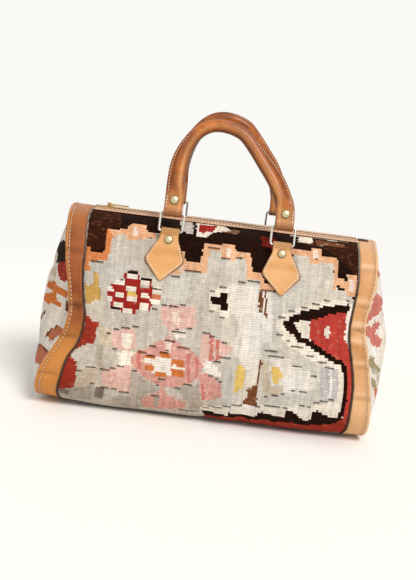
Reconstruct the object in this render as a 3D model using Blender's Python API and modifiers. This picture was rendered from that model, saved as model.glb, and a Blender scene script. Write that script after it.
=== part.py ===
"""A kilim weekend bag: flat-woven wool body, leather end bands, rolled leather handles on wire rings, zip top.

Metres, Z up, X along the bag, the photographed side faces -Y. The origin is the middle of the flat base.
Soft pieces are plain here: their creases, ribs and stitches are surface work.
"""

import math

import bmesh
import bpy
import numpy as np
from mathutils import Matrix, Vector

MM = 0.001

# Body: overall sizes over the leather bands, and the cloth.
BAND_SPAN = 332 * MM
BODY_HEIGHT = 200 * MM
BODY_DEPTH = 176 * MM
GUSSET_BULGE = 23 * MM
CLOTH = 2.6 * MM
SEW_GAP = 0.3 * MM
BAND_EDGE_GAP = 0.5 * MM
END_GAP = 0.4 * MM

# Leather end bands, let into the cloth so that band and base share one plane.
BAND_WIDTH = 24 * MM
BAND_THICK = 1.8 * MM

# Zip: leather strips, tapes, teeth rows and slider, as half widths and heights about the ridge.
STRIP_IN = 5.2 * MM
STRIP_WIDTH = 13 * MM
STRIP_THICK = 1.5 * MM
TAPE_THICK = 0.8 * MM
TOOTH_SLOT = 1.5 * MM
TOOTH_WIDTH = 1.85 * MM
TOOTH_HIGH = 2.4 * MM
SLIDER_LONG = 10.5 * MM
SLIDER_WIDE = 8.8 * MM
SLIDER_INSET = 15 * MM
PLATE = 1.4 * MM
PULL_LONG = 15 * MM
PULL_WIDE = 6.6 * MM

# Rings: bent wire, sizes between wire centres.
HANDLE_SPACING = 114 * MM
RING_WIRE = 2.4 * MM
RING_WIDE = 23.8 * MM
RING_TALL = 19 * MM
RING_CORNER = 2.2 * MM
BAR_GAP = 0.3 * MM
SIDE_GAP = 1.1 * MM

# Chapes: the kite-shaped leather patches that hold the rings.
CHAPE_THICK = 2.0 * MM
CHAPE_WIDE = 40 * MM
CHAPE_WIDEST_AT = 30 * MM
CHAPE_LONG = 51 * MM
CHAPE_TAIL = 17 * MM
CHAPE_RIVET_AT = 9.2 * MM
CHAPE_LEAVES_AT = 0.86
LOOP_DROP = 7.5 * MM
CHAPE_SPLAY = 0.085  # how far a chape's tip stands away from the middle of the bag, as a share of its length

# Handles: rolled leather with a stitched flange outside, flat folded ends.
HANDLE_RISE = 99 * MM
REAR_SHIFT = 5 * MM
HANDLE_ROLL = 13 * MM
FLANGE_OUT = 5 * MM
FLANGE_TUCK = 4.2 * MM
FLANGE_THICK = 3.1 * MM
STRAP = 2.2 * MM
APEX_FROM_MIDDLE = 18 * MM
REAR_LEAN = math.radians(3)
HANDLE_TAIL = 21 * MM
HANDLE_RIVET_AT = 13 * MM

# Rivets.
RIVET_HEAD = 9 * MM
RIVET_DOME = 2.2 * MM
RIVET_SHANK = 3 * MM
RIVET_BACK = 7 * MM
RIVET_GAP = 0.25 * MM

HALF_SPAN = BAND_SPAN / 2
LOOP_HEIGHT = BODY_HEIGHT - LOOP_DROP
BAND_IN = HALF_SPAN - BAND_WIDTH
LET_IN = BAND_THICK + SEW_GAP
TAB_WIDE = RING_WIDE - RING_WIRE - 2 * SIDE_GAP
EYE = RING_WIRE / 2 + BAR_GAP

# Half of the cross-section from the zip edge down to the middle of the base, as shares of half depth and height.
SECTION = [
    (0.102, 0.998), (0.227, 0.993), (0.364, 0.982), (0.489, 0.960), (0.602, 0.918), (0.699, 0.861),
    (0.784, 0.784), (0.858, 0.688), (0.915, 0.577), (0.960, 0.457), (0.989, 0.337), (1.000, 0.240),
    (0.981, 0.154), (0.926, 0.089), (0.841, 0.042), (0.727, 0.0125), (0.591, 0.0), (0.295, 0.0), (0.0, 0.0),
]


def clear_scene():
    for obj in list(bpy.data.objects):
        bpy.data.objects.remove(obj)


def collection(name, hidden=False):
    made = bpy.data.collections.new(name)
    bpy.context.scene.collection.children.link(made)
    made.hide_render = hidden
    return made


def material(name, colour, rough, metal=0.0):
    made = bpy.data.materials.new(name)
    made.use_nodes = True
    shader = made.node_tree.nodes["Principled BSDF"]
    shader.inputs["Base Color"].default_value = (*colour, 1)
    shader.inputs["Roughness"].default_value = rough
    shader.inputs["Metallic"].default_value = metal
    return made


def add_object(name, data, mat, where):
    obj = bpy.data.objects.new(name, data)
    where.objects.link(obj)
    if mat:
        data.materials.append(mat)
    return obj


def mesh_object(name, points, faces, mat, where, flip=(1, 1, 1)):
    """A mesh of these points, each axis multiplied by flip, with its faces turned back if that mirrors it."""
    mesh = bpy.data.meshes.new(name)
    points = [tuple(c * f for c, f in zip(p, flip)) for p in points]
    if flip[0] * flip[1] * flip[2] < 0:
        faces = turned(faces)
    mesh.from_pydata(points, [], faces)
    mesh.update()
    return add_object(name, mesh, mat, where)


def solidify(obj, thick, side):
    mod = obj.modifiers.new("thickness", "SOLIDIFY")
    mod.thickness = thick
    mod.offset = side
    mod.use_even_offset = True
    return obj


def boolean(obj, other, operation):
    mod = obj.modifiers.new(operation.lower() + " " + other.name, "BOOLEAN")
    mod.operation = operation
    mod.solver = "EXACT"
    mod.object = other
    return obj


def helper(obj):
    obj.hide_render = True
    obj.display_type = "WIRE"
    return obj


def box(name, low, high, mat, where):
    """A block between two corners."""
    xs, ys, zs = zip(low, high)
    points = [(x, y, z) for x in xs for y in ys for z in zs]
    faces = [(0, 1, 3, 2), (4, 6, 7, 5), (0, 4, 5, 1), (2, 3, 7, 6), (0, 2, 6, 4), (1, 5, 7, 3)]
    return mesh_object(name, points, faces, mat, where)


def catmull(points, steps):
    """A smooth line through the points, with so many steps from one to the next."""
    pts = [np.array(p, float) for p in points]
    pts = [2 * pts[0] - pts[1], *pts, 2 * pts[-1] - pts[-2]]
    out = []
    for a, b, c, d in zip(pts, pts[1:], pts[2:], pts[3:]):
        for t in np.arange(steps) / steps:
            out.append(0.5 * (2 * b + (c - a) * t + (2 * a - 5 * b + 4 * c - d) * t**2
                              + (3 * b - a - 3 * c + d) * t**3))
    return [*out, pts[-2]]


def half_section():
    """(y, z) of the cloth's outer face from the zip edge to the middle of the base, y positive."""
    scaled = [(y * BODY_DEPTH / 2, z * BODY_HEIGHT) for y, z in SECTION]
    curved = catmull(scaled[:-2], 2)
    return [(float(y), max(0.0, float(z))) for y, z in curved] + scaled[-2:]


def open_section():
    """The whole cross-section from the front zip edge under the base to the rear zip edge."""
    half = half_section()
    return [(-y, z) for y, z in half] + list(reversed(half[:-1]))


def closed_section():
    """The same, closed across the zip."""
    return [*open_section(), (0.0, BODY_HEIGHT)]


def offset(line, by, closed):
    """The line moved outward by a distance, with mitred corners. The section runs front to rear under the base."""
    pts = np.array(line)
    before = np.roll(pts, 1, 0) if closed else np.vstack([2 * pts[0] - pts[1], pts[:-1]])
    after = np.roll(pts, -1, 0) if closed else np.vstack([pts[1:], 2 * pts[-1] - pts[-2]])

    def normals(step):
        step = step / np.linalg.norm(step, axis=1, keepdims=True)
        return np.column_stack([step[:, 1], -step[:, 0]])

    one, two = normals(pts - before), normals(after - pts)
    mitre = (one + two) / (1 + (one * two).sum(1, keepdims=True))
    return [tuple(p) for p in pts + by * mitre]


def skin(rows, closed):
    """Points and faces of a sheet through rows of equal length, one face between each four neighbours."""
    count = len(rows[0])
    faces = []
    for r in range(len(rows) - 1):
        for i in range(count if closed else count - 1):
            j = (i + 1) % count
            faces.append((r * count + i, (r + 1) * count + i, (r + 1) * count + j, r * count + j))
    return [p for row in rows for p in row], faces


def turned(faces):
    return [tuple(reversed(f)) for f in faces]


def at_x(x, line):
    return [(x, y, z) for y, z in line]


def add_body(mats, where):
    """The woven body, one sheet from zip to zip, let in by the bands' thickness where they cover it."""
    let = BAND_IN - BAND_EDGE_GAP
    ends = [let - LET_IN, let, HALF_SPAN - CLOTH - END_GAP]
    inner = [ends[0] * k / 3 for k in (0, 1, 2)]
    xs = [-x for x in reversed(ends)] + [-x for x in reversed(inner[1:])] + inner + ends
    rows = []
    for x in xs:
        by = 0 if abs(x) < ends[0] + 1e-6 else -LET_IN
        rows.append(at_x(x, offset(open_section(), by, False)))
    points, faces = skin(rows, False)
    body = mesh_object("kilim_body", points, turned(faces), mats["kilim"], where)
    return solidify(body, CLOTH, -1)


def add_gusset(name, side, mats, where):
    """A woven end, flat at its seam and domed in the middle."""
    rim = np.array(offset(closed_section(), -LET_IN, True))
    middle = np.array([0.0, BODY_HEIGHT * 0.45])
    rows = []
    for share in (1.0, 0.955, 0.86, 0.72, 0.55, 0.36, 0.18):
        rise = GUSSET_BULGE * (1 - (share / 0.955) ** 2) if share < 0.955 else 0.0
        rows.append(at_x(HALF_SPAN + rise, middle + (rim - middle) * share))
    points, faces = skin(rows, True)
    count = len(rim)
    points.append((HALF_SPAN + GUSSET_BULGE, *middle))
    last = (len(rows) - 1) * count
    faces += [(last + i, len(points) - 1, last + (i + 1) % count) for i in range(count)]
    gusset = mesh_object(name, points, turned(faces), mats["kilim"], where, (side, 1, 1))
    return solidify(gusset, CLOTH, -1)


def add_band(name, side, mats, where):
    """The leather band round one end, over the seam of body and gusset."""
    rows = [at_x(x, closed_section()) for x in (BAND_IN, (BAND_IN + HALF_SPAN) / 2, HALF_SPAN)]
    points, faces = skin(rows, True)
    band = mesh_object(name, points, turned(faces), mats["leather"], where, (side, 1, 1))
    return solidify(band, BAND_THICK, -1)


def ridge_levels():
    """Heights at the zip: cloth edge, tape top, strip foot at its inner and outer edge, teeth top."""
    edge_y, edge_z = half_section()[0]
    next_y, next_z = half_section()[1]
    slope = (next_z - edge_z) / (next_y - edge_y)
    out = STRIP_IN + STRIP_WIDTH
    foot_out = edge_z + slope * (out - edge_y) + SEW_GAP
    foot_in = edge_z + SEW_GAP + 1.2 * slope * (STRIP_IN - edge_y)
    tape = edge_z
    return edge_y, edge_z, tape, foot_in, foot_out, edge_z + 1.2 * MM


def add_strip(name, side, mats, where):
    """A leather strip along the zip, over the edge of the cloth and of the tape."""
    _, _, _, foot_in, foot_out, _ = ridge_levels()
    a, b, half = STRIP_IN, STRIP_IN + STRIP_WIDTH, BAND_IN - SEW_GAP
    ring = [(a, foot_in), (b, foot_out), (b, foot_out + STRIP_THICK), (a, foot_in + STRIP_THICK)]
    points, faces = skin([at_x(x, ring) for x in (-half, half)], True)
    faces += [(0, 1, 2, 3), (7, 6, 5, 4)]
    return mesh_object(name, points, turned(faces), mats["tan"], where, (1, side, 1))


def add_zip(mats, where):
    edge_y, _, tape, _, _, teeth = ridge_levels()
    half = BAND_IN - SEW_GAP
    slot = TOOTH_SLOT / 2
    for name, side in (("front", -1), ("rear", 1)):
        add_strip("zip_strip_" + name, side, mats, where)
        ys = sorted((side * (slot + TOOTH_WIDTH + SEW_GAP), side * (edge_y - SEW_GAP)))
        box("zip_tape_" + name, (-half, ys[0], tape - TAPE_THICK), (half, ys[1], tape), mats["tape"], where)
        ys = sorted((side * slot, side * (slot + TOOTH_WIDTH)))
        box("zip_teeth_" + name, (2 * MM - half, ys[0], teeth - TOOTH_HIGH), (half - 2 * MM, ys[1], teeth),
            mats["teeth"], where)
    top = BODY_HEIGHT + SEW_GAP
    box("zip_tape_end", (BAND_IN + 0.8 * MM, -5.5 * MM, top), (BAND_IN + 11 * MM, 5.5 * MM, top + 0.9 * MM),
        mats["tape"], where)


def slider_place():
    """(x, height of the top plate's upper face, height of the pull's axis)."""
    teeth = ridge_levels()[5]
    top = teeth + 0.35 * MM + PLATE
    return -(BAND_IN - SLIDER_INSET), top, top + 1.9 * MM


def add_slider(mats, where, cutters):
    """Two plates joined by a thin web that runs in the slot between the rows of teeth, and a lug for the pull."""
    _, _, tape, _, _, teeth = ridge_levels()
    x, top, axis = slider_place()
    low = teeth - TOOTH_HIGH - 0.35 * MM
    long, wide, lip = SLIDER_LONG / 2, SLIDER_WIDE / 2, 1.1 * MM
    slider = box("zip_slider", (x - long, -wide, top - PLATE), (x + long, wide, top), mats["brass"], where)
    clear = 0.35 * MM
    join = 0.2 * MM
    under = tape - TAPE_THICK - clear
    extras = [("foot", (x - long, -wide, low - PLATE), (x + long, wide, low))]
    web = TOOTH_SLOT / 2 - SEW_GAP
    extras.append(("web", (x - long * 0.8, -web, low - join), (x + long * 0.1, web, top - join)))
    for tag, y0, y1 in (("lip_front", -wide, lip - wide), ("lip_rear", wide - lip, wide)):
        extras.append((tag + "_high", (x - long, y0, tape + clear), (x + long, y1, top - join)))
        extras.append((tag + "_low", (x - long, y0, low - join), (x + long, y1, under)))
    extras.append(("lug", (x - 1.9 * MM, -0.8 * MM, top - join), (x + 1.9 * MM, 0.8 * MM, axis + 1.9 * MM)))
    for tag, a, b in extras:
        boolean(slider, helper(box("slider_" + tag, a, b, None, cutters)), "UNION")
    boolean(slider, cylinder("slider_eye", (x, 0, axis), (0, 1, 0), 0.95 * MM, 6 * MM, cutters), "DIFFERENCE")
    return slider


def add_pull(mats, where, cutters):
    """A flat tab on a wire bail that runs through the slider's lug. It lies back along the zip."""
    x, _, axis = slider_place()
    reach, half, wire = 7 * MM, 3 * MM, 0.6 * MM
    corners = [(x, -half), (x + reach, -half), (x + reach, half), (x, half)]
    path = rounded_loop(corners, 1.3 * MM, 3)
    bail = tube_mesh("pull_bail", [(a, b, axis) for a, b in path], wire, 8, cutters)
    helper(bail)
    start = x + reach - 1 * MM
    end = start + PULL_LONG
    wide = PULL_WIDE / 2
    outline = [(start, -wide * 0.8), (end - wide, -wide), (end - wide * 0.3, -wide * 0.7), (end, 0),
               (end - wide * 0.3, wide * 0.7), (end - wide, wide), (start, wide * 0.8)]
    rows = [[(a, b, axis + z) for a, b in outline] for z in (-0.55 * MM, 0.55 * MM)]
    points, faces = skin(rows, True)
    count = len(outline)
    faces += [tuple(range(count)), tuple(reversed(range(count, 2 * count)))]
    pull = mesh_object("zip_pull", points, turned(faces), mats["old_brass"], where)
    return boolean(pull, bail, "UNION")


def rounded_loop(corners, radius, steps):
    """A closed polygon with its corners rounded."""
    out = []
    pts = [np.array(c, float) for c in corners]
    for i, here in enumerate(pts):
        back, ahead = pts[i - 1] - here, pts[(i + 1) % len(pts)] - here
        a, b = back / np.linalg.norm(back), ahead / np.linalg.norm(ahead)
        middle = here + radius * (a + b)
        for k in range(steps + 1):
            t = math.pi / 2 * k / steps
            out.append(tuple(middle - radius * (b * math.cos(t) + a * math.sin(t))))
    return out


def tube_mesh(name, path, radius, sides, where, mat=None):
    """A closed loop of round wire along a flat path, as a mesh."""
    pts = np.array(path)
    ahead, back = np.roll(pts, -1, 0), np.roll(pts, 1, 0)
    along = ahead - back
    along /= np.linalg.norm(along, axis=1, keepdims=True)
    flat = np.cross(pts[1] - pts[0], pts[len(pts) // 2] - pts[0])
    flat /= np.linalg.norm(flat)
    out = np.cross(along, flat)
    rows = []
    for p, o, a, b in zip(pts, out, ahead - pts, pts - back):
        a, b = a / np.linalg.norm(a), b / np.linalg.norm(b)
        stretch = 1 / max(0.3, math.sqrt((1 + float(a @ b)) / 2))
        rows.append([tuple(p + radius * (o * stretch * math.cos(t) + flat * math.sin(t)))
                     for t in np.arange(sides) * 2 * math.pi / sides])
    points, faces = skin([*rows, rows[0]], True)
    count = len(rows) * sides
    faces = [tuple(i % count for i in f) for f in faces]
    return mesh_object(name, points[:count], faces, mat, where)


def cylinder(name, middle, axis, radius, long, where):
    mesh = bpy.data.meshes.new(name)
    shape = bmesh.new()
    turn = Vector(axis).to_track_quat("Z", "Y").to_matrix().to_4x4()
    bmesh.ops.create_cone(shape, cap_ends=True, segments=16, radius1=radius, radius2=radius, depth=long,
                          matrix=Matrix.Translation(middle) @ turn)
    shape.to_mesh(mesh)
    shape.free()
    return helper(add_object(name, mesh, None, where))


def handle_side_line():
    """The front chape's bed in (outward, up): (points from the loop's foot down to the tip, outward normals)."""
    half = half_section()
    leave = next(i for i, p in enumerate(half) if p[1] < CHAPE_LEAVES_AT * BODY_HEIGHT)
    start = np.array(half[leave])
    up = np.array(half[leave - 1]) - np.array(half[leave + 1])
    up /= np.linalg.norm(up)
    out = np.array([up[1], -up[0]])
    lift = SEW_GAP + CHAPE_THICK + EYE
    rise = (LOOP_HEIGHT - start[1] - lift * out[1]) / up[1]
    line = [start + up * rise, start, *[np.array(p) for p in half[leave + 1:]]]
    return line, lift


def bed_at(distance):
    """The point and outward normal on the chape's bed at a distance below the loop's foot, both as (y, z)."""
    line, _ = handle_side_line()
    lengths = [0.0]
    for a, b in zip(line, line[1:]):
        lengths.append(lengths[-1] + float(np.linalg.norm(b - a)))

    def place(d):
        i = max(0, min(len(line) - 2, sum(1 for v in lengths if v <= d) - 1))
        t = (d - lengths[i]) / (lengths[i + 1] - lengths[i])
        return line[i] + (line[i + 1] - line[i]) * t

    step = 2.5 * MM
    down = place(distance + step) - place(distance - step)
    down /= np.linalg.norm(down)
    return place(distance), np.array([-down[1], down[0]])


def ramp(x, a, b):
    t = min(1.0, max(0.0, (x - a) / (b - a)))
    return t * t * (3 - 2 * t)


def loop_axis():
    """The ring's lower bar, as (y outward, z)."""
    foot, out = bed_at(0.0)
    return foot + out * handle_side_line()[1]


def front_layer(distance):
    """Middle of the chape's outer layer, as height above its bed."""
    lift = handle_side_line()[1]
    on_tail = SEW_GAP + CHAPE_THICK + 0.35 * MM + CHAPE_THICK / 2
    near = lift + EYE + CHAPE_THICK / 2
    height = near + (on_tail - near) * ramp(distance, 0.8 * MM, 4.6 * MM)
    flat = SEW_GAP + CHAPE_THICK / 2
    return height + (flat - on_tail) * ramp(distance, CHAPE_TAIL + 0.5 * MM, CHAPE_TAIL + 9 * MM)


def chape_width(distance):
    neck = TAB_WIDE
    if distance < 8 * MM:
        return neck
    if distance < CHAPE_WIDEST_AT:
        t = (distance - 8 * MM) / (CHAPE_WIDEST_AT - 8 * MM)
        return neck + (CHAPE_WIDE - neck) * t
    t = (distance - CHAPE_WIDEST_AT) / (CHAPE_LONG - CHAPE_WIDEST_AT)
    return CHAPE_WIDE + (3 * MM - CHAPE_WIDE) * t


def chape_rows():
    """(y outward, z, width, distance below the ring) along the middle of the leather, from the hidden tail's end
    over the bar to the tip."""
    rows = []
    tail = SEW_GAP + CHAPE_THICK / 2
    for d in (CHAPE_TAIL, CHAPE_TAIL * 0.66, CHAPE_TAIL * 0.33, 1 * MM):
        foot, out = bed_at(d)
        rows.append((*(foot + out * tail), TAB_WIDE - 0.6 * MM, d))
    foot, out = bed_at(0.0)
    along = np.array([-out[1], out[0]])
    axis, radius = loop_axis(), EYE + CHAPE_THICK / 2
    for k in range(9):
        t = math.pi * k / 8
        rows.append((*(axis - out * radius * math.cos(t) + along * radius * math.sin(t)), TAB_WIDE, 0.0))
    marks = [0.8, 2.1, 3.4, 4.6, 10, 14.5, 17.5, 20, 23, 26.5]
    below = [m * MM for m in marks] + [CHAPE_WIDEST_AT]
    below += [CHAPE_WIDEST_AT + (CHAPE_LONG - CHAPE_WIDEST_AT) * t for t in (0.33, 0.66, 0.93, 1.0)]
    for d in below:
        foot, out = bed_at(d)
        wide = chape_width(d) * (0.55 if d == below[-1] else 1)
        rows.append((*(foot + out * front_layer(d)), wide, d))
    return rows


def add_chape(name, side, x, mats, where, cutters):
    splay = math.copysign(CHAPE_SPLAY, x)
    grid = [[(x + splay * d + w * t / 2, y, z) for t in (-1, 0, 1)] for y, z, w, d in chape_rows()]
    points, faces = skin(grid, False)
    chape = mesh_object(name, points, faces, mats["tan"], where, (1, side, 1))
    solidify(chape, CHAPE_THICK, 0)
    foot, out = bed_at(CHAPE_RIVET_AT)
    reach = cloth_reach(foot, out)
    outer = front_layer(CHAPE_RIVET_AT) + CHAPE_THICK / 2
    axis = (0, side * out[0], out[1])
    middle = (x + splay * CHAPE_RIVET_AT, side * foot[0], foot[1])
    hole = cylinder(name + "_hole", middle, axis, RIVET_SHANK / 2 + SEW_GAP, 30 * MM, cutters)
    boolean(chape, hole, "DIFFERENCE")
    boolean(bpy.data.objects["kilim_body"], hole, "DIFFERENCE")
    add_rivet(name + "_rivet", middle, axis, outer, -reach, mats, where)


def cloth_reach(foot, out):
    """How far under its bed the inside of the cloth lies, at the deepest point under the rivet's back."""
    inside = [np.array((-y, z)) for y, z in offset(open_section(), -CLOTH, False)]
    along = np.array([-out[1], out[0]])
    deepest = 0.0
    for shift in (-RIVET_BACK / 2, 0.0, RIVET_BACK / 2):
        for a, b in zip(inside, inside[1:]):
            grid = np.column_stack([b - a, out])
            if abs(np.linalg.det(grid)) < 1e-12:
                continue
            t, depth = np.linalg.solve(grid, foot + along * shift - a)
            if 0 <= t <= 1 and -2 * MM < depth < 12 * MM:
                deepest = max(deepest, float(depth))
    return deepest


def add_rivet(name, middle, axis, outer, inner, mats, where):
    """A domed head and a hollow back on one shank, turned about its axis. outer and inner are the faces it grips."""
    top, low = outer + RIVET_GAP, inner - 2 * RIVET_GAP
    head, shank, back = RIVET_HEAD / 2, RIVET_SHANK / 2, RIVET_BACK / 2
    profile = [(0, top + RIVET_DOME), (head * 0.35, top + RIVET_DOME * 0.93), (head * 0.68, top + RIVET_DOME * 0.7),
               (head * 0.92, top + RIVET_DOME * 0.35), (head, top), (shank, top), (shank, low), (back, low),
               (back * 0.9, low - 0.7 * MM), (shank * 0.8, low - 0.9 * MM), (shank * 0.62, low + 0.6 * MM),
               (0, low + 0.6 * MM)]
    mesh = bpy.data.meshes.new(name)
    mesh.from_pydata([(r, 0, z) for r, z in profile], [(i, i + 1) for i in range(len(profile) - 1)], [])
    obj = add_object(name, mesh, mats["rivet"], where)
    obj.matrix_world = Matrix.Translation(middle) @ Vector(axis).to_track_quat("Z", "Y").to_matrix().to_4x4()
    mod = obj.modifiers.new("turn", "SCREW")
    mod.axis = "Z"
    mod.steps = mod.render_steps = 16
    mod.use_merge_vertices = True
    mod.merge_threshold = 1e-5
    return obj


def lean(side):
    """Angle of ring and handle from upright, inward: the front handle leans in, the rear one stands behind it."""
    if side > 0:
        return REAR_LEAN
    return math.asin((loop_axis()[0] - APEX_FROM_MIDDLE) / (RING_TALL + HANDLE_RISE))


def plane_point(side, x, up, out):
    """A point in the plane of a ring and its handle, from the ring's lower bar: x along, up the lean, outward."""
    y, z = loop_axis()
    a = lean(side)
    return (x, side * (y - up * math.sin(a) + out * math.cos(a)), z + up * math.cos(a) + out * math.sin(a))


def add_ring(name, side, x, mats, where):
    w, h = RING_WIDE / 2, RING_TALL
    loop = rounded_loop([(-w, 0), (w, 0), (w, h), (-w, h)], RING_CORNER, 4)
    path = [plane_point(side, x + a, b, 0) for a, b in loop]
    return tube_mesh(name, path, RING_WIRE / 2, 8, where, mats["nickel"])


def handle_line(side):
    """Middle line of the handle in its plane: (x, height over the ring's upper bar), left foot to right foot.
    Worn leather keeps the skew that it has hung in."""
    x, h = HANDLE_SPACING / 2, HANDLE_RISE
    shape = [(-1.0, 0.03), (-1.0, 0.09), (-1.003, 0.2), (-1.014, 0.364), (-0.998, 0.525), (-0.942, 0.682),
             (-0.825, 0.833), (-0.702, 0.919), (-0.54, 0.978), (-0.356, 1.0), (-0.167, 0.992), (0.009, 0.962),
             (0.158, 0.911), (0.35, 0.788), (0.556, 0.631), (0.72, 0.505), (0.868, 0.364), (0.972, 0.22),
             (1.0, 0.09), (1.0, 0.03)]
    line = []
    for a, b in catmull([(x * a, h * b) for a, b in shape], 3):
        share = min(1.0, max(0.0, b / h))
        line.append((a + (REAR_SHIFT * ramp(share, 0.2, 1.0) if side > 0 else 0.0), b))
    return line


def tab_outline(thick):
    w, t = TAB_WIDE / 2, thick / 2
    upper = [(w, t), (0.66 * w, t), (0.36 * w, t), (0.08 * w, t), (-0.22 * w, t), (-0.55 * w, t), (-w, t)]
    return [(w, 0), *upper, (-w, 0), *[(n, -b) for n, b in reversed(upper)]]


def roll_outline():
    """Round roll with the stitched flange on its outer side, in (outward in the arch, outward from the bag)."""
    r, f = HANDLE_ROLL / 2, FLANGE_THICK / 2
    edge = r + FLANGE_OUT / 2
    middle = edge - FLANGE_OUT - r
    turn = [math.radians(a) for a in (42, 66, 92, 120, 150)]
    upper = [(edge, f * 0.9), (middle + r * 0.96, f), *[(middle + r * math.cos(a), r * math.sin(a)) for a in turn]]
    return [(edge, 0), *upper, (middle - r, 0), *[(n, -b) for n, b in reversed(upper)]]


def handle_sections(side):
    """Rings of points in (x, up, out) from the ring's lower bar, from one hidden tail over the arch to the other."""
    eye, strap = EYE + STRAP / 2, STRAP
    apart = strap / 2 + 0.15 * MM
    tab = tab_outline(strap)
    line = handle_line(side)

    def fold(x, across):
        """Tail and fold about the upper bar, up to where the outer layer starts to rise."""
        leg = sorted((b, a) for a, b in (line[:12] if across < 0 else line[-12:]))
        rows = []
        for up in (HANDLE_TAIL, HANDLE_TAIL * 0.6, 8 * MM):
            middle = float(np.interp(up, [b for b, _ in leg], [a for _, a in leg]))
            rows.append([(middle + across * n, up, -b - apart) for n, b in tab])
        rows.append([(x + across * n, 4 * MM, -b - (apart + eye) / 2) for n, b in tab])
        for k in range(9):
            t = math.pi * k / 8
            out, up = -math.cos(t), -math.sin(t)
            rows.append([(x + across * n, (eye + b) * up, (eye + b) * out) for n, b in tab])
        return rows

    rows = fold(line[0][0], -1)
    pts = np.array(line)
    for i in range(1, len(line) - 1):
        along = pts[i + 1] - pts[i - 1]
        along /= np.linalg.norm(along)
        outward = np.array([-along[1], along[0]])
        up = pts[i][1]
        if i == 1 or i == len(line) - 2:
            outward = np.array([-1.0 if i == 1 else 1.0, 0.0])
        if up < 4 * MM:
            continue
        shift = apart + (eye - apart) * (1 - ramp(up, 0.0, 8 * MM))
        shift *= 1 - ramp(up, HANDLE_TAIL - 5 * MM, HANDLE_TAIL + 9 * MM)
        outer = ramp(up, HANDLE_RIVET_AT + 4 * MM, HANDLE_RIVET_AT + 21 * MM)
        inner = ramp(up, HANDLE_TAIL + 2 * MM, HANDLE_TAIL + 20 * MM)
        tuck = FLANGE_TUCK * ramp(up, 0.45 * HANDLE_RISE, 0.92 * HANDLE_RISE)
        row = []
        for (tn, tb), (rn, rb) in zip(tab, roll_outline()):
            rn -= tuck if rn > HANDLE_ROLL / 2 else 0.0
            w = (outer + inner) / 2 if tb == 0 else outer if tb > 0 else inner
            n, b = tn + (rn - tn) * w, tb + (rb - tb) * w
            row.append((pts[i][0] + outward[0] * n, up + outward[1] * n, b + shift))
        rows.append(row)
    right = fold(line[-1][0], 1)
    rows += list(reversed(right))
    return [[(x, up + RING_TALL, out) for x, up, out in row] for row in rows]


def add_handle(name, side, mats, where, cutters):
    rows = [[plane_point(side, *p) for p in row] for row in handle_sections(side)]
    points, faces = skin(rows, True)
    count, last = len(rows[0]), (len(rows) - 1) * len(rows[0])
    faces += [tuple(range(count)), tuple(reversed(range(last, last + count)))]
    handle = mesh_object(name, points, turned(faces) if side < 0 else faces, mats["leather"], where)
    a = lean(side)
    axis = (0, side * math.cos(a), math.sin(a))
    grip = STRAP + 0.15 * MM
    for tag, x in (("left", -HANDLE_SPACING / 2), ("right", HANDLE_SPACING / 2)):
        middle = plane_point(side, x, RING_TALL + HANDLE_RIVET_AT, 0)
        hole = cylinder(f"{name}_hole_{tag}", middle, axis, RIVET_SHANK / 2 + SEW_GAP, 12 * MM, cutters)
        boolean(handle, hole, "DIFFERENCE")
        add_rivet(f"{name}_rivet_{tag}", middle, axis, grip, -grip, mats, where)
    return handle


def add_materials():
    return {
        "kilim": material("wool kilim", (0.56, 0.50, 0.42), 0.9),
        "leather": material("chestnut leather", (0.42, 0.16, 0.055), 0.5),
        "tan": material("tan leather", (0.72, 0.37, 0.15), 0.55),
        "tape": material("brown cotton tape", (0.07, 0.035, 0.022), 0.9),
        "teeth": material("browned zip teeth", (0.13, 0.08, 0.045), 0.5, 0.6),
        "brass": material("polished brass", (0.72, 0.55, 0.27), 0.3, 1.0),
        "old_brass": material("aged brass", (0.30, 0.22, 0.12), 0.45, 1.0),
        "nickel": material("nickelled wire", (0.75, 0.74, 0.70), 0.25, 1.0),
        "rivet": material("pale brass rivet", (0.68, 0.58, 0.38), 0.3, 1.0),
    }


def main():
    clear_scene()
    where = collection("kilim_bag")
    cutters = collection("cutters", hidden=True)
    mats = add_materials()
    add_body(mats, where)
    for tag, side in (("left", -1), ("right", 1)):
        add_gusset("gusset_" + tag, side, mats, where)
        add_band("band_" + tag, side, mats, where)
    add_zip(mats, where)
    add_slider(mats, where, cutters)
    add_pull(mats, where, cutters)
    for face, side in (("front", -1), ("rear", 1)):
        for tag, x in (("left", -HANDLE_SPACING / 2), ("right", HANDLE_SPACING / 2)):
            add_chape(f"chape_{face}_{tag}", side, x, mats, where, cutters)
            add_ring(f"ring_{face}_{tag}", side, x, mats, where)
        add_handle("handle_" + face, side, mats, where, cutters)


main()
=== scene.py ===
"""Builds the looks of a kilim weekend bag round its CAD frame: woven cloth, leather, zip, handles and metal fittings."""

import math

import bpy
import numpy as np
from mathutils import Matrix, Vector


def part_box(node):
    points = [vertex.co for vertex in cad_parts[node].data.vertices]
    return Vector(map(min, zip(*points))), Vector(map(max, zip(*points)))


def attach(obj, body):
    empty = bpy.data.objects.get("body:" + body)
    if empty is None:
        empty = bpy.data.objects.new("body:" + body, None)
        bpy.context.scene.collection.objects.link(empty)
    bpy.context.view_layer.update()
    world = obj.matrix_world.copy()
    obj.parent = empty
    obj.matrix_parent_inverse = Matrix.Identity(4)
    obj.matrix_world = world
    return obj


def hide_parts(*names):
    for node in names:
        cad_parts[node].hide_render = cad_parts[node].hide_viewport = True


bl_info = {
    "name": "Kilim Weekend Bag",
    "version": (1, 0, 0),
    "blender": (4, 5, 0),
    "location": "View3D > Sidebar > Kilim Bag",
    "description": "Woven cloth, leather, zip and metal of a weekend bag round its CAD frame",
    "category": "Add Mesh",
}

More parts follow.
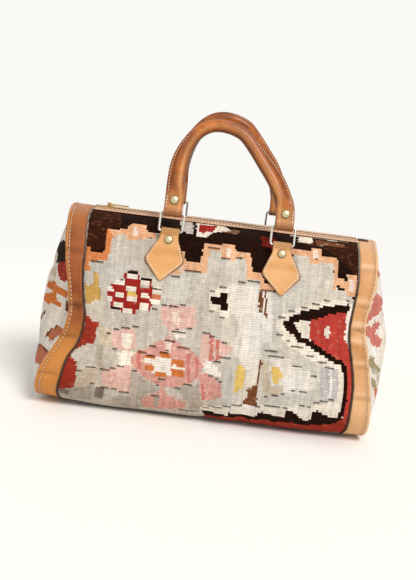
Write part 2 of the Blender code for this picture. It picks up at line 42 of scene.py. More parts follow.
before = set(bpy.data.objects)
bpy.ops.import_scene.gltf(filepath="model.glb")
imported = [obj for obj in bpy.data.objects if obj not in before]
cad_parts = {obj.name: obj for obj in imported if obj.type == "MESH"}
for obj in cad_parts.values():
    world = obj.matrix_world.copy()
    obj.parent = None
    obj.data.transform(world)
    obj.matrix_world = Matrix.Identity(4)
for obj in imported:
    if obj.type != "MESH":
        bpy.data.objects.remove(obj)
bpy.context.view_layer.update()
MM = 0.001

# The frame's overall sizes, read from its end band: along the bag, over it and through it.
HALF_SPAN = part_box("band_right")[1].x
BAND_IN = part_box("band_right")[0].x
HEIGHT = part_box("band_right")[1].z
DEPTH = 2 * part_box("band_right")[1].y

# The frame's smaller values, as its source has them.
BAND_THICK, LET_IN, GUSSET_BULGE = 1.8 * MM, 2.1 * MM, 23 * MM
HANDLE_SPACING, HANDLE_RISE, REAR_SHIFT, REAR_LEAN = 114 * MM, 99 * MM, 5 * MM, math.radians(3)
RING_WIRE, RING_WIDE, RING_TALL, RING_CORNER = 2.4 * MM, 23.8 * MM, 19 * MM, 2.2 * MM
TAB_WIDE, EYE, STRAP = 19.2 * MM, 1.5 * MM, 2.2 * MM
CHAPE_THICK, CHAPE_SPLAY, CHAPE_LEAVES_AT = 2.0 * MM, 0.085, 0.86
CHAPE_TAIL, CHAPE_RIVET_AT = 17 * MM, 9.2 * MM
LOOP_HEIGHT, APEX_FROM_MIDDLE, SEW_GAP = HEIGHT - 7.5 * MM, 18 * MM, 0.3 * MM
HANDLE_ROLL, FLANGE_OUT, FLANGE_TUCK, FLANGE_THICK = 13 * MM, 5 * MM, 4.2 * MM, 3.1 * MM
HANDLE_TAIL, HANDLE_RIVET_AT = 21 * MM, 13 * MM
RIVET_HEAD, RIVET_DOME, RIVET_SHANK, RIVET_BACK, RIVET_GAP = 9 * MM, 2.2 * MM, 3 * MM, 7 * MM, 0.25 * MM
STRIP_IN, STRIP_BED = 5.2 * MM, HEIGHT - 0.87 * MM

# Half of the cross-section from the zip edge to the middle of the base, as shares of half depth and height.
SECTION = [
    (0.102, 0.998), (0.227, 0.993), (0.364, 0.982), (0.489, 0.960), (0.602, 0.918), (0.699, 0.861),
    (0.784, 0.784), (0.858, 0.688), (0.915, 0.577), (0.960, 0.457), (0.989, 0.337), (1.000, 0.240),
    (0.981, 0.154), (0.926, 0.089), (0.841, 0.042), (0.727, 0.0125), (0.591, 0.0), (0.295, 0.0), (0.0, 0.0),
]

# How far the slumped ends have moved along the bag, in mm by the distance down from the zip edge:
# (distance, left band's inner edge, its outer edge, right band's inner edge, its outer edge).
END_DRIFT = [
    (-9, 0, 1, -1, -6), (0, -1, 1, -1.5, -7), (27, -2, 2.5, -2.5, -8.5), (49, -0.4, 4, -2.6, -8.5),
    (71, 1, 6.5, -2.6, -9), (88, 1.6, 9.5, -3.8, -12.5), (107, 3.9, 14, -5.7, -15.5), (124, 7, 17, -5.6, -14.5),
    (137, 9.4, 18, -3.2, -11), (153, 8.5, 15.5, 0.8, -7), (168, 4.5, 9, 4, -4), (182, -3.2, 2, 5.8, -1),
    (201, -7.8, -6, 6.2, 1.5), (228, -11.5, -9.5, 7, 3.5), (256, -7, -6, 3, 1.5), (310, 0, 0, 0, 0),
]

# Creases across the two bands: mm down from the zip edge, mm deep and mm wide. A negative depth is a swelling.
BAND_CREASES = {
    -1: [(73, 1.3, 4), (86, -0.7, 9), (128, 1.9, 3.5), (142, -1.5, 9), (160, 1.7, 3.5), (180, -1.0, 14), (204, 1.2, 4)],
    1: [(56, 1.0, 5), (94, 1.0, 4), (118, 1.7, 4), (134, -1.2, 9), (156, 1.0, 4), (188, 1.2, 5), (206, -0.8, 10)],
}

# Yarn colours of the kilim. Each field below names one.
YARN = {
    "GREY": "C4BAAD", "PALE": "CCC4B7", "IVORY": "E2D9CD", "CREAM": "EBDFCF", "SAND": "C7B69F", "TAUPE": "B0A496",
    "SLATE": "7F7268", "DARK": "180803", "UMBER": "351709", "BROWN": "74452A", "WINE": "7A2119", "RED": "9C2821", "BRICK": "9A3324",
    "SCARLET": "B53D33", "COPPER": "D17F4B", "PEACH": "DFA981", "BLUSH": "EBD2C1", "PINK": "DAB2A5", "ROSY": "D1998A",
    "ROSE": "C47568", "CORAL": "C76454", "ORANGE": "CD733B", "RUST": "BD6F50", "GOLD": "DDBA68", "AMBER": "BF9752",
    "OLIVE": "9C8D6C", "LILAC": "BCB5B3",
}

# Wool of another colour caught in a yarn: the yarn, the share of its cells, and what shows there.
FLECKS = [
    ("GREY", 0.10, "TAUPE"), ("GREY", 0.10, "IVORY"), ("PALE", 0.10, "CREAM"), ("PALE", 0.08, "TAUPE"),
    ("IVORY", 0.10, "PALE"), ("SAND", 0.10, "TAUPE"), ("SAND", 0.10, "CREAM"), ("TAUPE", 0.12, "SLATE"),
    ("TAUPE", 0.10, "PALE"), ("DARK", 0.6, "UMBER"), ("UMBER", 0.25, "BROWN"),
    ("UMBER", 0.3, "DARK"), ("BROWN", 0.2, "SAND"),
    ("RED", 0.06, "ROSE"), ("BRICK", 0.10, "RUST"), ("SCARLET", 0.12, "ROSE"), ("PINK", 0.12, "CREAM"),
    ("PINK", 0.10, "ROSE"), ("ROSY", 0.12, "BLUSH"), ("ROSY", 0.10, "CORAL"), ("PEACH", 0.14, "BLUSH"),
    ("COPPER", 0.10, "PEACH"), ("GOLD", 0.10, "CREAM"), ("LILAC", 0.14, "CREAM"), ("CREAM", 0.10, "SAND"),
]

# Fields of the front, in the order they are laid on the grey ground: colour, then corners as mm along the bag
# from its middle and mm down round the cloth from the zip edge.
FRONT = """
PALE -21,43 133,48 152,239 62,240 37,224 16,207 17,164 -10,137 -24,98
IVORY 8,88 39,86 44,114 50,155 48,185 40,191 36,168 27,163 18,149 26,132 19,120 11,115
IVORY 60,154 77,156 85,168 80,182 62,184
SAND 51,163 57,161 60,176 63,184 79,186 69,196 56,192
IVORY 42,90 52,89 58,138 53,144 48,140
IVORY 72,163 99,164 108,178 98,191 77,190
PALE -72,90 -17,83 -14,107 -49,111 -68,114
TAUPE -143,218 -125,216 -109,209 -100,210 -99,227 -120,234 -147,233
SLATE -108,209 -101,209 -100,226 -107,224
SLATE -139,220 -131,219 -128,228 -137,228
TAUPE -79,186 -74,188 -66,194 -56,199 -49,206 -57,213 -66,219 -67,236 -93,238 -93,219 -76,216
TAUPE -32,200 -9,193 -6,210 1,220 -14,226 -18,215
SAND -130,192 -108,190 -108,207 -125,215
GREY -135,182 -132,167 -118,161 -102,169 -93,178 -104,189 -115,188 -130,188
TAUPE -121,166 -113,166 -104,186 -111,187
DARK -177,2 -49,5 4,3 78,4 166,3 165,85 137,88 136,80 124,80 115,75 113,51 94,47 67,49 65,89 42,89 41,80 28,71 26,52 12,52 9,46 -19,47 -22,72 -40,69 -44,61 -51,43 -100,44 -116,47 -119,58 -120,71 -136,73 -140,72 -166,75
UMBER -177,2 -110,3 -108,42 -118,46 -121,68 -140,72 -166,75
UMBER 78,4 166,3 165,85 139,86 137,62 118,44 100,33 89,33 78,30
BROWN -9,18 14,18 12,27 -7,28
BROWN 95,16 126,17 125,28 94,29
WINE 36,25 52,25 50,44 38,43
GREY -50,0 -36,2 -34,37 -41,37 -47,32
CREAM -33,0 -5,3 5,22 -6,27 -13,31 -20,39 -30,39
RED -29,12 -10,11 -14,30 -20,29 -23,34 -28,33
CREAM 76,10 92,10 90,28 75,28
PALE 68,0 145,1 144,6 111,13 102,9 67,13
COPPER -143,68 -136,68 -134,92 -141,94
COPPER -138,74 -120,71 -117,79 -135,83
COPPER -122,71 -120,45 -112,45 -114,53 -117,79 -122,80
PEACH -120,45 -101,43 -100,50 -115,52
PEACH -99,34 -83,32 -82,41 -71,42 -70,49 -82,49 -83,53 -100,55 -102,45
BLUSH -96,38 -91,37 -89,49 -94,50
PEACH -44,61 -40,60 -38,69 -22,71 -22,79 -41,80
PEACH -51,79 -41,80 -42,85 -50,84
PEACH -23,73 -21,48 -14,49 -16,79 -23,80
PEACH -21,48 -2,47 -3,54 -17,55
PEACH -3,45 10,46 12,53 27,53 27,59 12,60 9,64 -2,62
BLUSH 1,50 6,50 7,60 2,59
PEACH 22,54 27,53 30,78 25,81
PEACH 26,73 42,73 43,81 26,80
PEACH 39,80 55,84 55,89 40,90
PEACH 66,40 89,39 89,34 100,34 101,44 117,45 117,52 100,52 97,56 88,54 87,47 67,47
BLUSH 92,38 96,37 97,49 92,49
PEACH 113,48 118,47 120,80 116,81
PEACH 115,68 129,69 128,62 139,63 141,86 130,83 128,77 116,75
BLUSH 131,67 135,67 137,79 133,79
AMBER -139,105 -134,107 -129,104 -129,93 -126,92 -123,100 -123,119 -129,120 -134,125 -138,126
BRICK -140,134 -134,141 -125,143 -126,153 -123,163 -132,166 -140,174 -142,161 -140,147
BRICK -142,176 -134,184 -130,186 -126,205 -126,215 -144,223 -144,215 -141,192
SAND -124,145 -107,149 -104,166 -112,165 -121,163
PINK -57,118 -47,116 -37,114 -26,114 -22,118 -19,133 -23,137 -35,139 -43,143 -42,151 -46,152 -47,140 -54,137
BLUSH -45,122 -38,121 -36,135 -42,136
CREAM -43,143 -35,141 -28,141 -29,148 -38,149
PINK -108,151 -100,147 -81,143 -76,165 -85,167 -103,166
CREAM -95,150 -84,149 -82,164 -92,164
CREAM -95,169 -76,167 -74,182 -90,184
PINK -106,191 -97,187 -84,183 -79,183 -77,209 -79,213 -87,212 -94,209 -104,208
ROSY -80,175 -75,166 -64,163 -57,155 -49,151 -40,150 -29,155 -20,159 -16,163 -11,166 -7,174 -10,182 -12,189 -20,194 -28,198 -38,201 -48,200 -59,196 -66,192 -74,186 -79,183
ROSE -75,167 -71,165 -69,184 -73,185
ROSE -25,161 -22,162 -18,192 -21,194
ROSE -16,164 -13,165 -11,185 -13,188
BLUSH -48,152 -42,151 -40,161 -46,162
PINK -12,141 -4,140 2,144 11,146 16,149 21,151 17,158 15,161 7,165 -5,170 -11,170
ROSE -5,140 -1,142 2,168 -2,170
ROSE 2,144 5,144 8,165 5,167
ROSY -10,180 -5,180 3,183 12,188 14,190 16,204 4,209 -3,210 -8,201
ROSE -6,192 -3,194 -1,210 -4,210
CREAM -8,169 1,168 6,172 13,181 5,182 -5,180
ROSY -65,218 -59,212 -51,210 -47,202 -45,198 -41,208 -30,212 -20,215 -18,224 -45,232 -64,232
TAUPE -53,214 -47,212 -46,228 -52,229
CREAM -59,170 -38,171 -36,187 -58,187
CREAM -67,169 -57,169 -56,177 -66,177
ORANGE -52,165 -42,165 -41,171 -51,171
ORANGE -67,170 -56,170 -56,173 -66,173
ORANGE -40,170 -27,170 -26,177 -39,177
ORANGE -66,179 -56,179 -56,186 -65,185
ORANGE -39,181 -26,181 -25,188 -38,188
ORANGE -54,185 -43,185 -43,191 -53,191
CREAM -37,176 -24,177 -24,180 -37,180
RED -110,102 -68,102 -66,119 -110,119
DARK -96,88 -84,88 -83,91 -95,91
RED -98,91 -81,91 -80,102 -96,102
CREAM -95,91 -84,91 -83,96 -94,96
CREAM -107,98 -97,98 -97,103 -107,103
DARK -80,93 -69,93 -69,96 -80,96
CREAM -80,96 -71,96 -71,101 -80,101
RED -71,96 -69,96 -68,103 -70,103
RED -115,110 -109,110 -109,115 -115,115
CREAM -115,105 -110,105 -109,110 -115,110
CREAM -115,116 -110,116 -110,120 -115,120
CREAM -94,102 -83,103 -83,107 -94,107
GOLD -94,108 -84,108 -83,113 -94,113
CREAM -94,113 -83,113 -83,118 -94,118
CREAM -107,109 -98,109 -98,114 -106,114
CREAM -80,107 -71,107 -70,112 -79,112
CREAM -68,101 -58,101 -57,106 -67,106
RUST -68,107 -58,107 -58,112 -67,112
CREAM -69,112 -59,112 -58,117 -68,117
RED -111,119 -68,119 -67,125 -111,125
CREAM -108,121 -97,121 -97,126 -108,126
CREAM -79,118 -70,118 -69,124 -79,124
DARK -111,126 -99,126 -99,128 -111,128
DARK -81,124 -68,124 -68,126 -81,126
RED -100,125 -82,125 -81,130 -99,129
CREAM -96,125 -86,125 -85,129 -96,129
DARK -99,129 -83,129 -83,131 -99,131
CREAM -11,92 8,92 12,123 -8,123
PALE -8,117 2,117 3,124 -7,124
PALE -11,92 -2,92 -2,96 -11,96
DARK -8,102 1,102 2,110 -7,110
DARK 0,97 7,97 10,115 3,115
GOLD 26,167 29,166 34,171 36,178 36,191 32,194 30,197 27,196 26,182
GOLD 61,166 69,165 72,170 74,174 73,179 68,183 64,180 62,172
BROWN 39,90 43,90 46,113 41,113
BROWN 45,90 47,90 50,118 48,118
BROWN 49,160 51,160 51,189 49,189
BROWN 40,192 47,188 50,186 52,209 36,212 41,200
CREAM 59,122 66,111 83,103 94,98 106,93 116,90 131,91 140,92 140,100 137,119 136,139 134,161 124,165 111,159 99,154 88,148 75,141 65,132
DARK 67,117 73,116 72,112 84,110 83,106 94,105 94,102 107,101 108,97 119,97 120,95 133,96 135,93 137,97 136,105 130,103 117,105 110,109 97,114 88,114 78,119 83,125 87,128 89,132 98,134 107,139 115,143 123,148 131,151 135,155 135,175 136,190 135,207 133,222 119,222 118,212 129,213 130,203 132,191 131,175 130,162 129,156 121,153 115,150 107,146 100,142 94,139 84,136 82,132 76,130 69,124
SCARLET 95,114 110,109 117,105 130,103 135,103 137,131 141,139 142,148 141,174 142,195 143,212 145,231 134,229 135,208 136,190 135,175 135,155 131,151 123,148 115,143 107,139 98,134
CREAM 78,119 88,114 95,114 98,134 89,130 83,125
CREAM 117,116 120,120 120,127 117,131 114,127 114,120
CREAM 135,102 142,94 141,111 139,131 136,131 136,114
DARK 144,71 143,88 142,98 141,117 140,132 142,149 142,169 143,195 145,227 150,230 148,189 147,154 143,133 145,106 148,77
PALE 107,155 130,162 131,189 128,205 111,204 103,195 106,179
LILAC 109,159 126,160 127,191 111,192
IVORY 118,160 120,160 120,191 118,191
CREAM 127,160 131,163 132,204 127,204
CREAM -4,219 31,212 58,208 94,203 110,198 126,193 131,211 98,227 30,235 -1,231
IVORY 24,214 55,209 56,216 26,222
DARK -2,225 2,225 17,227 24,231 25,223 33,225 46,226 53,226 55,217 59,216 63,218 72,219 82,219 82,211 88,210 95,216 99,220 104,220 106,207 111,206 119,210 129,214 133,214 136,229 101,242 50,245 1,236
BRICK -2,246 2,236 22,233 38,230 46,232 60,228 74,229 90,226 104,227 126,221 134,214 147,212 152,239 101,247 20,250
"""

# Slits and short floats of dark yarn along the steps of the motifs, drawn as dark lines that are partly painted shade
# in the slits and partly the yarn: mm along, mm down, mm long.
SLITS = """
-134,81,14 -38,79,16 -50,85,8 26,81,13 41,89,15 -18,52,13 -2,61,9 12,58,7 18,83,6 -10,97,6 -1,91,7 -8,116,4
2,121,7 -103,96,5 -66,120,6 -57,117,7 -48,115,9 -37,113,5 -68,100,10 -106,146,8 -97,144,11 -83,141,7 -102,167,5
-107,189,9 -98,187,5 -104,209,7 -94,209,5 -87,211,8 -78,186,5 -52,164,9 -65,169,9 -51,191,8 -12,139,8 -4,141,4
8,146,6 3,166,7 9,162,4 14,160,5 -1,182,6 7,184,4 11,187,3 -37,140,8 -29,137,6 -43,142,8 -63,159,6 -48,152,11
-35,156,12 -75,165,9 -24,194,8 -34,198,8 -57,210,6 53,148,13 57,154,7 64,153,9 66,193,6 75,190,3 58,197,4
61,113,8 71,107,8 84,100,7 94,96,10 108,91,7 132,88,3 62,130,7 72,135,4 78,142,13 94,148,8 106,154,9 117,159,5
-2,218,7 9,217,8 18,214,9 27,212,11 50,208,7 59,206,8 68,206,9 78,205,5 93,202,6 100,200,4 105,197,7 111,194,7
118,191,6 -27,225,23 100,168,5 83,186,5 92,186,6 -128,193,5 -114,207,5 -114,150,7
"""

# Fields of the two gussets on their cream ground, as mm from the middle of the end and mm up.
GUSSET = {
    "left": """
DARK -31,162 -42,167 -58,167 -65,149 -52,143 -26,140 -32,149 -10,151
BRICK -38,142 -65,149 -67,130 -57,126 -47,131
ORANGE -27,119 -38,122 -50,121 -68,121 -71,115 -62,111 -56,113 -49,111 -54,106 -61,105 -60,99 -47,99 -27,97 -10,101 -40,109 -42,114 -19,111
BROWN -68,109 -73,112 -75,100 -68,100
BROWN -24,77 -39,90 -42,90 -31,76
RUST -58,67 -61,76 -65,82 -78,84 -80,80 -78,74 -70,66
BROWN -53,67 -60,77 -65,82 -67,82 -62,76 -59,66
RUST -32,43 -51,56 -68,57 -81,57 -81,48 -81,40 -59,37
BROWN -47,55 -61,56 -79,57 -79,55 -62,54 -44,51
SAND -10,122 -34,137 -45,129 -16,126
OLIVE 20,78 30,100 18,110 6,92
DARK -26,196 -14,198 -12,186 -26,184
RED 5,150 17,140 17,128 5,118 -5,128 -5,140
CREAM 5,142 11,137 11,131 5,126 -1,131 -1,137
""",
    "right": """
RUST -60,176 -43,180 -16,164 -16,169 -46,171
ROSE -53,155 -16,142 -16,137 -35,138 -24,133 -42,131 -55,130 -61,127 -70,124 -71,132 -65,137 -60,143 -59,148
ROSE -70,123 -59,121 -49,124 -34,120 -42,115 -52,113 -47,109 -38,104 -42,99 -52,98 -63,103 -62,108 -71,114
OLIVE -82,89 -71,92 -61,90 -62,85 -52,78 -42,69 -59,73 -69,80 -79,84
TAUPE -71,81 -58,77 -52,67 -70,74
SAND -59,69 -24,62 -34,46 -56,57
OLIVE -76,72 -63,66 -60,54 -74,60
RUST -72,59 -48,53 -42,41 -60,42
RED 5,150 17,140 17,128 5,118 -5,128 -5,140
GOLD 5,142 11,137 11,131 5,126 -1,131 -1,137
DARK 8,84 20,84 20,60 8,60
""",
}


def linear(colour):
    """An sRGB hex colour as the linear numbers that Blender takes."""
    parts = [int(colour[i:i + 2], 16) / 255 for i in (0, 2, 4)]
    return tuple(c / 12.92 if c <= 0.04045 else ((c + 0.055) / 1.055) ** 2.4 for c in parts)


def ease(x, a, b):
    """0 before a, 1 after b and a smooth rise between them."""
    t = np.clip((np.asarray(x, float) - a) / (b - a), 0, 1)
    return t * t * (3 - 2 * t)


def curved(points, steps):
    """A Catmull-Rom line through points of any dimension, with so many steps from one to the next."""
    pts = [np.array(p, float) for p in points]
    pts = [2 * pts[0] - pts[1], *pts, 2 * pts[-1] - pts[-2]]
    out = []
    for a, b, c, d in zip(pts, pts[1:], pts[2:], pts[3:]):
        for t in np.arange(steps) / steps:
            out.append(0.5 * (2 * b + (c - a) * t + (2 * a - 5 * b + 4 * c - d) * t**2
                              + (3 * b - a - 3 * c + d) * t**3))
    return np.array([*out, pts[-2]])


def half_section(steps):
    """(y, z) of the cloth from the zip edge to the middle of the base, y positive."""
    scaled = [(y * DEPTH / 2, z * HEIGHT) for y, z in SECTION]
    line = curved(scaled[:-2], steps)
    line[:, 1] = np.maximum(line[:, 1], 0)
    return np.vstack([line, scaled[-2:]])


def girth_line():
    """The section from the middle of the zip down the front, under the base and up the rear, by distance."""
    half = half_section(8)
    line = np.vstack([[(0, HEIGHT)], half * (-1, 1), (half[::-1])[1:], [(0, HEIGHT)]])
    steps = np.linalg.norm(np.diff(line, axis=0), axis=1)
    along = np.concatenate([[0], np.cumsum(steps)]) - steps[0]
    tangent = np.gradient(line, along, axis=0)
    tangent /= np.linalg.norm(tangent, axis=1, keepdims=True)
    normal = np.column_stack([tangent[:, 1], -tangent[:, 0]])
    return along, line, normal


GIRTH, GIRTH_LINE, GIRTH_NORMAL = girth_line()
GIRTH_LONG = GIRTH[-2]
DRIFT = curved(END_DRIFT, 6) * MM


def drift(x, near, y):
    """How far a point of the cloth or band has slumped along the bag, by its distance from the zip edge round the
    section and its place through the bag. The unseen rear slumps about half as far as the front."""
    share = 1 - 0.45 * ease(y, -40 * MM, 40 * MM)
    left = [np.interp(near, DRIFT[:, 0], DRIFT[:, i]) for i in (1, 2)]
    right = [np.interp(near, DRIFT[:, 0], DRIFT[:, i]) for i in (3, 4)]
    inner, outer = (np.where(x < 0, a, b) for a, b in zip(left, right))
    far = np.clip((np.abs(x) - BAND_IN) / (HALF_SPAN - BAND_IN), 0, 1)
    return share * (inner * ease(np.abs(x), 70 * MM, BAND_IN) + (outer - inner) * far)


def slump(x, down):
    """Low folds and fullness of the filled bag, as outward distance. None under the chapes or near the zip."""
    near = np.minimum(down, GIRTH_LONG - down)
    u, v = x / MM, near / MM + 37 * ease(down, GIRTH_LONG / 2 - 40 * MM, GIRTH_LONG / 2 + 40 * MM)
    waves = (0.55 * np.sin(u / 19 + 0.8 * np.sin(v / 41)) * np.sin(v / 47 + 1.1)
             + 0.40 * np.sin(u / 11.5 + v / 33 + 2.0) * np.sin(v / 27 + u / 60)
             + 0.30 * np.sin(u / 7.3 - v / 24) * np.sin(v / 19 + 0.4))
    full = 1.6 * np.cos(np.clip(u / 150, -1, 1) * math.pi / 2) * np.sin(np.clip(near / MM - 60, 0, 165) / 165 * math.pi)
    folds = (-2.4 * np.exp(-(((u + 128) + 0.55 * (v - 140)) / 9) ** 2) * np.exp(-((v - 150) / 34) ** 2)
             - 1.6 * np.exp(-(((u + 112) + 0.2 * (v - 190)) / 7) ** 2) * np.exp(-((v - 196) / 26) ** 2)
             - 2.0 * np.exp(-(((u - 131) - 0.45 * (v - 118)) / 9) ** 2) * np.exp(-((v - 120) / 30) ** 2)
             - 1.3 * np.exp(-((u - 42 + 0.06 * (v - 200)) / 8) ** 2) * ease(v, 70, 130)
             - 1.1 * np.exp(-((u + 24 - 0.1 * v) / 12) ** 2) * ease(v, 175, 215))
    for hand, places in BAND_CREASES.items():
        end = ease(hand * u, 128, 150)
        for place, deep, wide in places:
            folds = folds - deep * end * np.exp(-((v - place - 0.25 * (hand * u - 154)) / wide) ** 2)
    chape = (1 - ease(np.abs(np.abs(x) - HANDLE_SPACING / 2), 21 * MM, 36 * MM)) * (1 - ease(near, 98 * MM, 122 * MM))
    base = 1 - 0.75 * ease(near, 236 * MM, 262 * MM)
    return MM * (waves + full + folds) * ease(near, 20 * MM, 55 * MM) * (1 - chape) * base


def on_bag(x, down, lift=0.0):
    """Points of the slumped bag: x along it, down round the section from the front zip edge, lift off the cloth."""
    x, down = np.broadcast_arrays(np.asarray(x, float), np.asarray(down, float))
    y, z = (np.interp(down, GIRTH, GIRTH_LINE[:, i]) for i in (0, 1))
    ny, nz = (np.interp(down, GIRTH, GIRTH_NORMAL[:, i]) for i in (0, 1))
    out = lift + slump(x, down)
    near = np.minimum(down, GIRTH_LONG - down)
    moved = np.stack([x + drift(x, near, y), y + ny * out, z + nz * out], -1)
    floor = np.minimum(lift, 0) * nz * (nz < -0.5) + 0.05 * MM
    moved[..., 2] = np.maximum(moved[..., 2], floor)
    return curled(x, moved)


def curled(x, points):
    """The two ends curl up a little from the floor, the left one more."""
    z = points[..., 2]
    most = np.where(x < 0, 4.5, 2.0) * MM
    points[..., 2] = z + most * ease(np.abs(x), 108 * MM, HALF_SPAN) * (1 - ease(z, 3 * MM, 75 * MM))
    return points


def facing(down):
    """The outward direction of the section at a distance round it, as an (x, y, z) array."""
    ny, nz = (np.interp(down, GIRTH, GIRTH_NORMAL[:, i]) for i in (0, 1))
    return np.stack([np.zeros_like(ny), ny, nz], -1)


def pressed(points):
    """What is sewn along the base is pressed flat between the bag and the floor."""
    return [(x, y, max(z, 0.1 * MM)) for x, y, z in points]


def mesh_object(name, points, faces, mats, smooth=True):
    mesh = bpy.data.meshes.new(name)
    mesh.from_pydata([tuple(p) for p in points], [], [tuple(f) for f in faces])
    mesh.update()
    if smooth:
        mesh.polygons.foreach_set("use_smooth", [True] * len(mesh.polygons))
    for mat in mats if isinstance(mats, (list, tuple)) else [mats]:
        mesh.materials.append(mat)
    obj = bpy.data.objects.new(name, mesh)
    bpy.context.scene.collection.objects.link(obj)
    return obj


def grid_faces(rows, columns, ring=False):
    """Faces of a grid of points given row by row. ring joins the last column to the first."""
    faces = []
    for r in range(rows - 1):
        for i in range(columns if ring else columns - 1):
            j = (i + 1) % columns
            faces.append((r * columns + i, r * columns + j, (r + 1) * columns + j, (r + 1) * columns + i))
    return faces


def loft(name, rings, mats, caps=True, turn=False):
    """A closed body through rings of equal count."""
    count = len(rings[0])
    faces = grid_faces(len(rings), count, True)
    if caps:
        faces += [tuple(reversed(range(count))), tuple(range((len(rings) - 1) * count, len(rings) * count))]
    if turn:
        faces = [tuple(reversed(f)) for f in faces]
    return mesh_object(name, np.concatenate([np.array(r, float) for r in rings]), faces, mats)


def subdivided(obj, levels):
    mod = obj.modifiers.new("rounding", "SUBSURF")
    mod.levels = mod.render_levels = levels
    return obj


def corner_values(mesh, name, kind, values):
    """One colour for each face, given to all its corners, as a colour attribute."""
    counts = np.empty(len(mesh.polygons), np.int32)
    mesh.polygons.foreach_get("loop_total", counts)
    layer = mesh.color_attributes.new(name=name, type=kind, domain="CORNER")
    solid = np.column_stack([np.clip(values, 0, 1), np.ones(len(values))]).astype(np.float32)
    layer.data.foreach_set("color", np.repeat(solid, counts, 0).ravel())


def point_values(mesh, name, values):
    layer = mesh.attributes.new(name, "FLOAT", "POINT")
    layer.data.foreach_set("value", np.asarray(values, np.float32))


def point_map(mesh, name, pairs):
    """A UV map in metres from one pair of numbers for each point."""
    index = np.empty(len(mesh.loops), np.int32)
    mesh.loops.foreach_get("vertex_index", index)
    layer = mesh.uv_layers.new(name=name)
    layer.data.foreach_set("uv", np.asarray(pairs, np.float32)[index].ravel())


def carry(obj, body, slot, *nodes):
    """The piece moves with a body and stands for CAD nodes, which it hides. Its slot is not used."""
    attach(obj, body)
    if nodes:
        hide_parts(*nodes)
    return obj


def add(tree, kind, settings=None, **sockets):
    """Adds a shader node. settings are its properties; sockets, _ for a space and _2 for a second of that name,
    take a value or another node's output."""
    node = tree.nodes.new("ShaderNode" + kind)
    for name, value in (settings or {}).items():
        setattr(node, name, value)
    for name, value in sockets.items():
        if name.startswith("in"):
            socket = node.inputs[int(name[2:])]
        else:
            socket = node.inputs[name.replace("_", " ")]
        if isinstance(value, bpy.types.NodeSocket):
            tree.links.new(value, socket)
        else:
            socket.default_value = (*value, 1) if isinstance(value, tuple) and socket.type == "RGBA" else value
    return node


def new_material(name):
    """(material, node tree, Principled shader) of an empty material."""
    made = bpy.data.materials.new(name)
    made.use_nodes = True
    return made, made.node_tree, made.node_tree.nodes["Principled BSDF"]


def fields_of(text, mirrored=False):
    """[(colour name, corners in metres)] from lines of a colour and its corners."""
    made = []
    for line in text.strip().splitlines():
        name, *corners = line.split()
        pts = np.array([[float(v) for v in c.split(",")] for c in corners]) * MM
        made.append((name, pts * (-1, 1) if mirrored else pts))
    return made


def inside(x, y, corners):
    """Which of the points lie in the outline."""
    found = np.zeros(x.shape, bool)
    (x0, y0), (x1, y1) = corners.min(0), corners.max(0)
    near = (x >= x0) & (x <= x1) & (y >= y0) & (y <= y1)
    px, py = x[near], y[near]
    hit = np.zeros(px.shape, bool)
    for (ax, ay), (bx, by) in zip(corners, np.roll(corners, -1, 0)):
        if ay != by:
            hit ^= ((ay > py) != (by > py)) & (px < (bx - ax) * (py - ay) / (by - ay) + ax)
    found[near] = hit
    return found


def woven(x, y, fields, ground):
    """The yarn of each cell of cloth: the last field that it lies in, as the number of a colour."""
    names = list(YARN)
    made = np.full(x.shape, names.index(ground))
    for name, corners in fields:
        made[inside(x, y, corners)] = names.index(name)
    return made


def stitches(places, outs, pitch, long, thick, start=0.0, end=0.0):
    """(points, faces) of saddle stitches along a line: each a short bent thread whose ends sink into the leather."""
    places, outs = np.asarray(places, float), np.asarray(outs, float)
    along = np.concatenate([[0], np.cumsum(np.linalg.norm(np.diff(places, axis=0), axis=1))])
    marks = np.arange(start + pitch / 2, along[-1] - end - pitch / 2 + 1e-9, pitch)
    at = np.stack([np.interp(marks, along, places[:, i]) for i in range(3)], 1)
    ahead = np.stack([np.interp(marks + long / 2, along, places[:, i]) for i in range(3)], 1)
    behind = np.stack([np.interp(marks - long / 2, along, places[:, i]) for i in range(3)], 1)
    out = np.stack([np.interp(marks, along, outs[:, i]) for i in range(3)], 1)
    out /= np.linalg.norm(out, axis=1, keepdims=True)
    run = ahead - behind
    run /= np.linalg.norm(run, axis=1, keepdims=True)
    side = np.cross(out, run)
    points, faces = [], []
    shape = [(-0.5, -0.55, 0.5), (-0.42, -0.05, 0.85), (-0.15, 0.28, 1), (0.15, 0.28, 1), (0.42, -0.05, 0.85),
             (0.5, -0.55, 0.5)]
    turns = [(math.cos(a), math.sin(a)) for a in np.arange(6) * math.pi / 3]
    for p, o, r, b in zip(at, out, run, side):
        first = len(points)
        for t, lift, share in shape:
            for c, s in turns:
                points.append(p + r * t * long + o * thick * (lift + 0.5 * share * s) + b * thick * 0.5 * share * c)
        rows = len(shape)
        faces += [tuple(first + i for i in f) for f in grid_faces(rows, 6, True)]
        faces += [tuple(first + i for i in reversed(range(6))), tuple(first + (rows - 1) * 6 + i for i in range(6))]
    return points, faces


def joined(parts):
    """(points, faces) of several bodies as one."""
    points, faces = [], []
    for p, f in parts:
        faces += [tuple(i + len(points) for i in face) for face in f]
        points += list(p)
    return points, faces


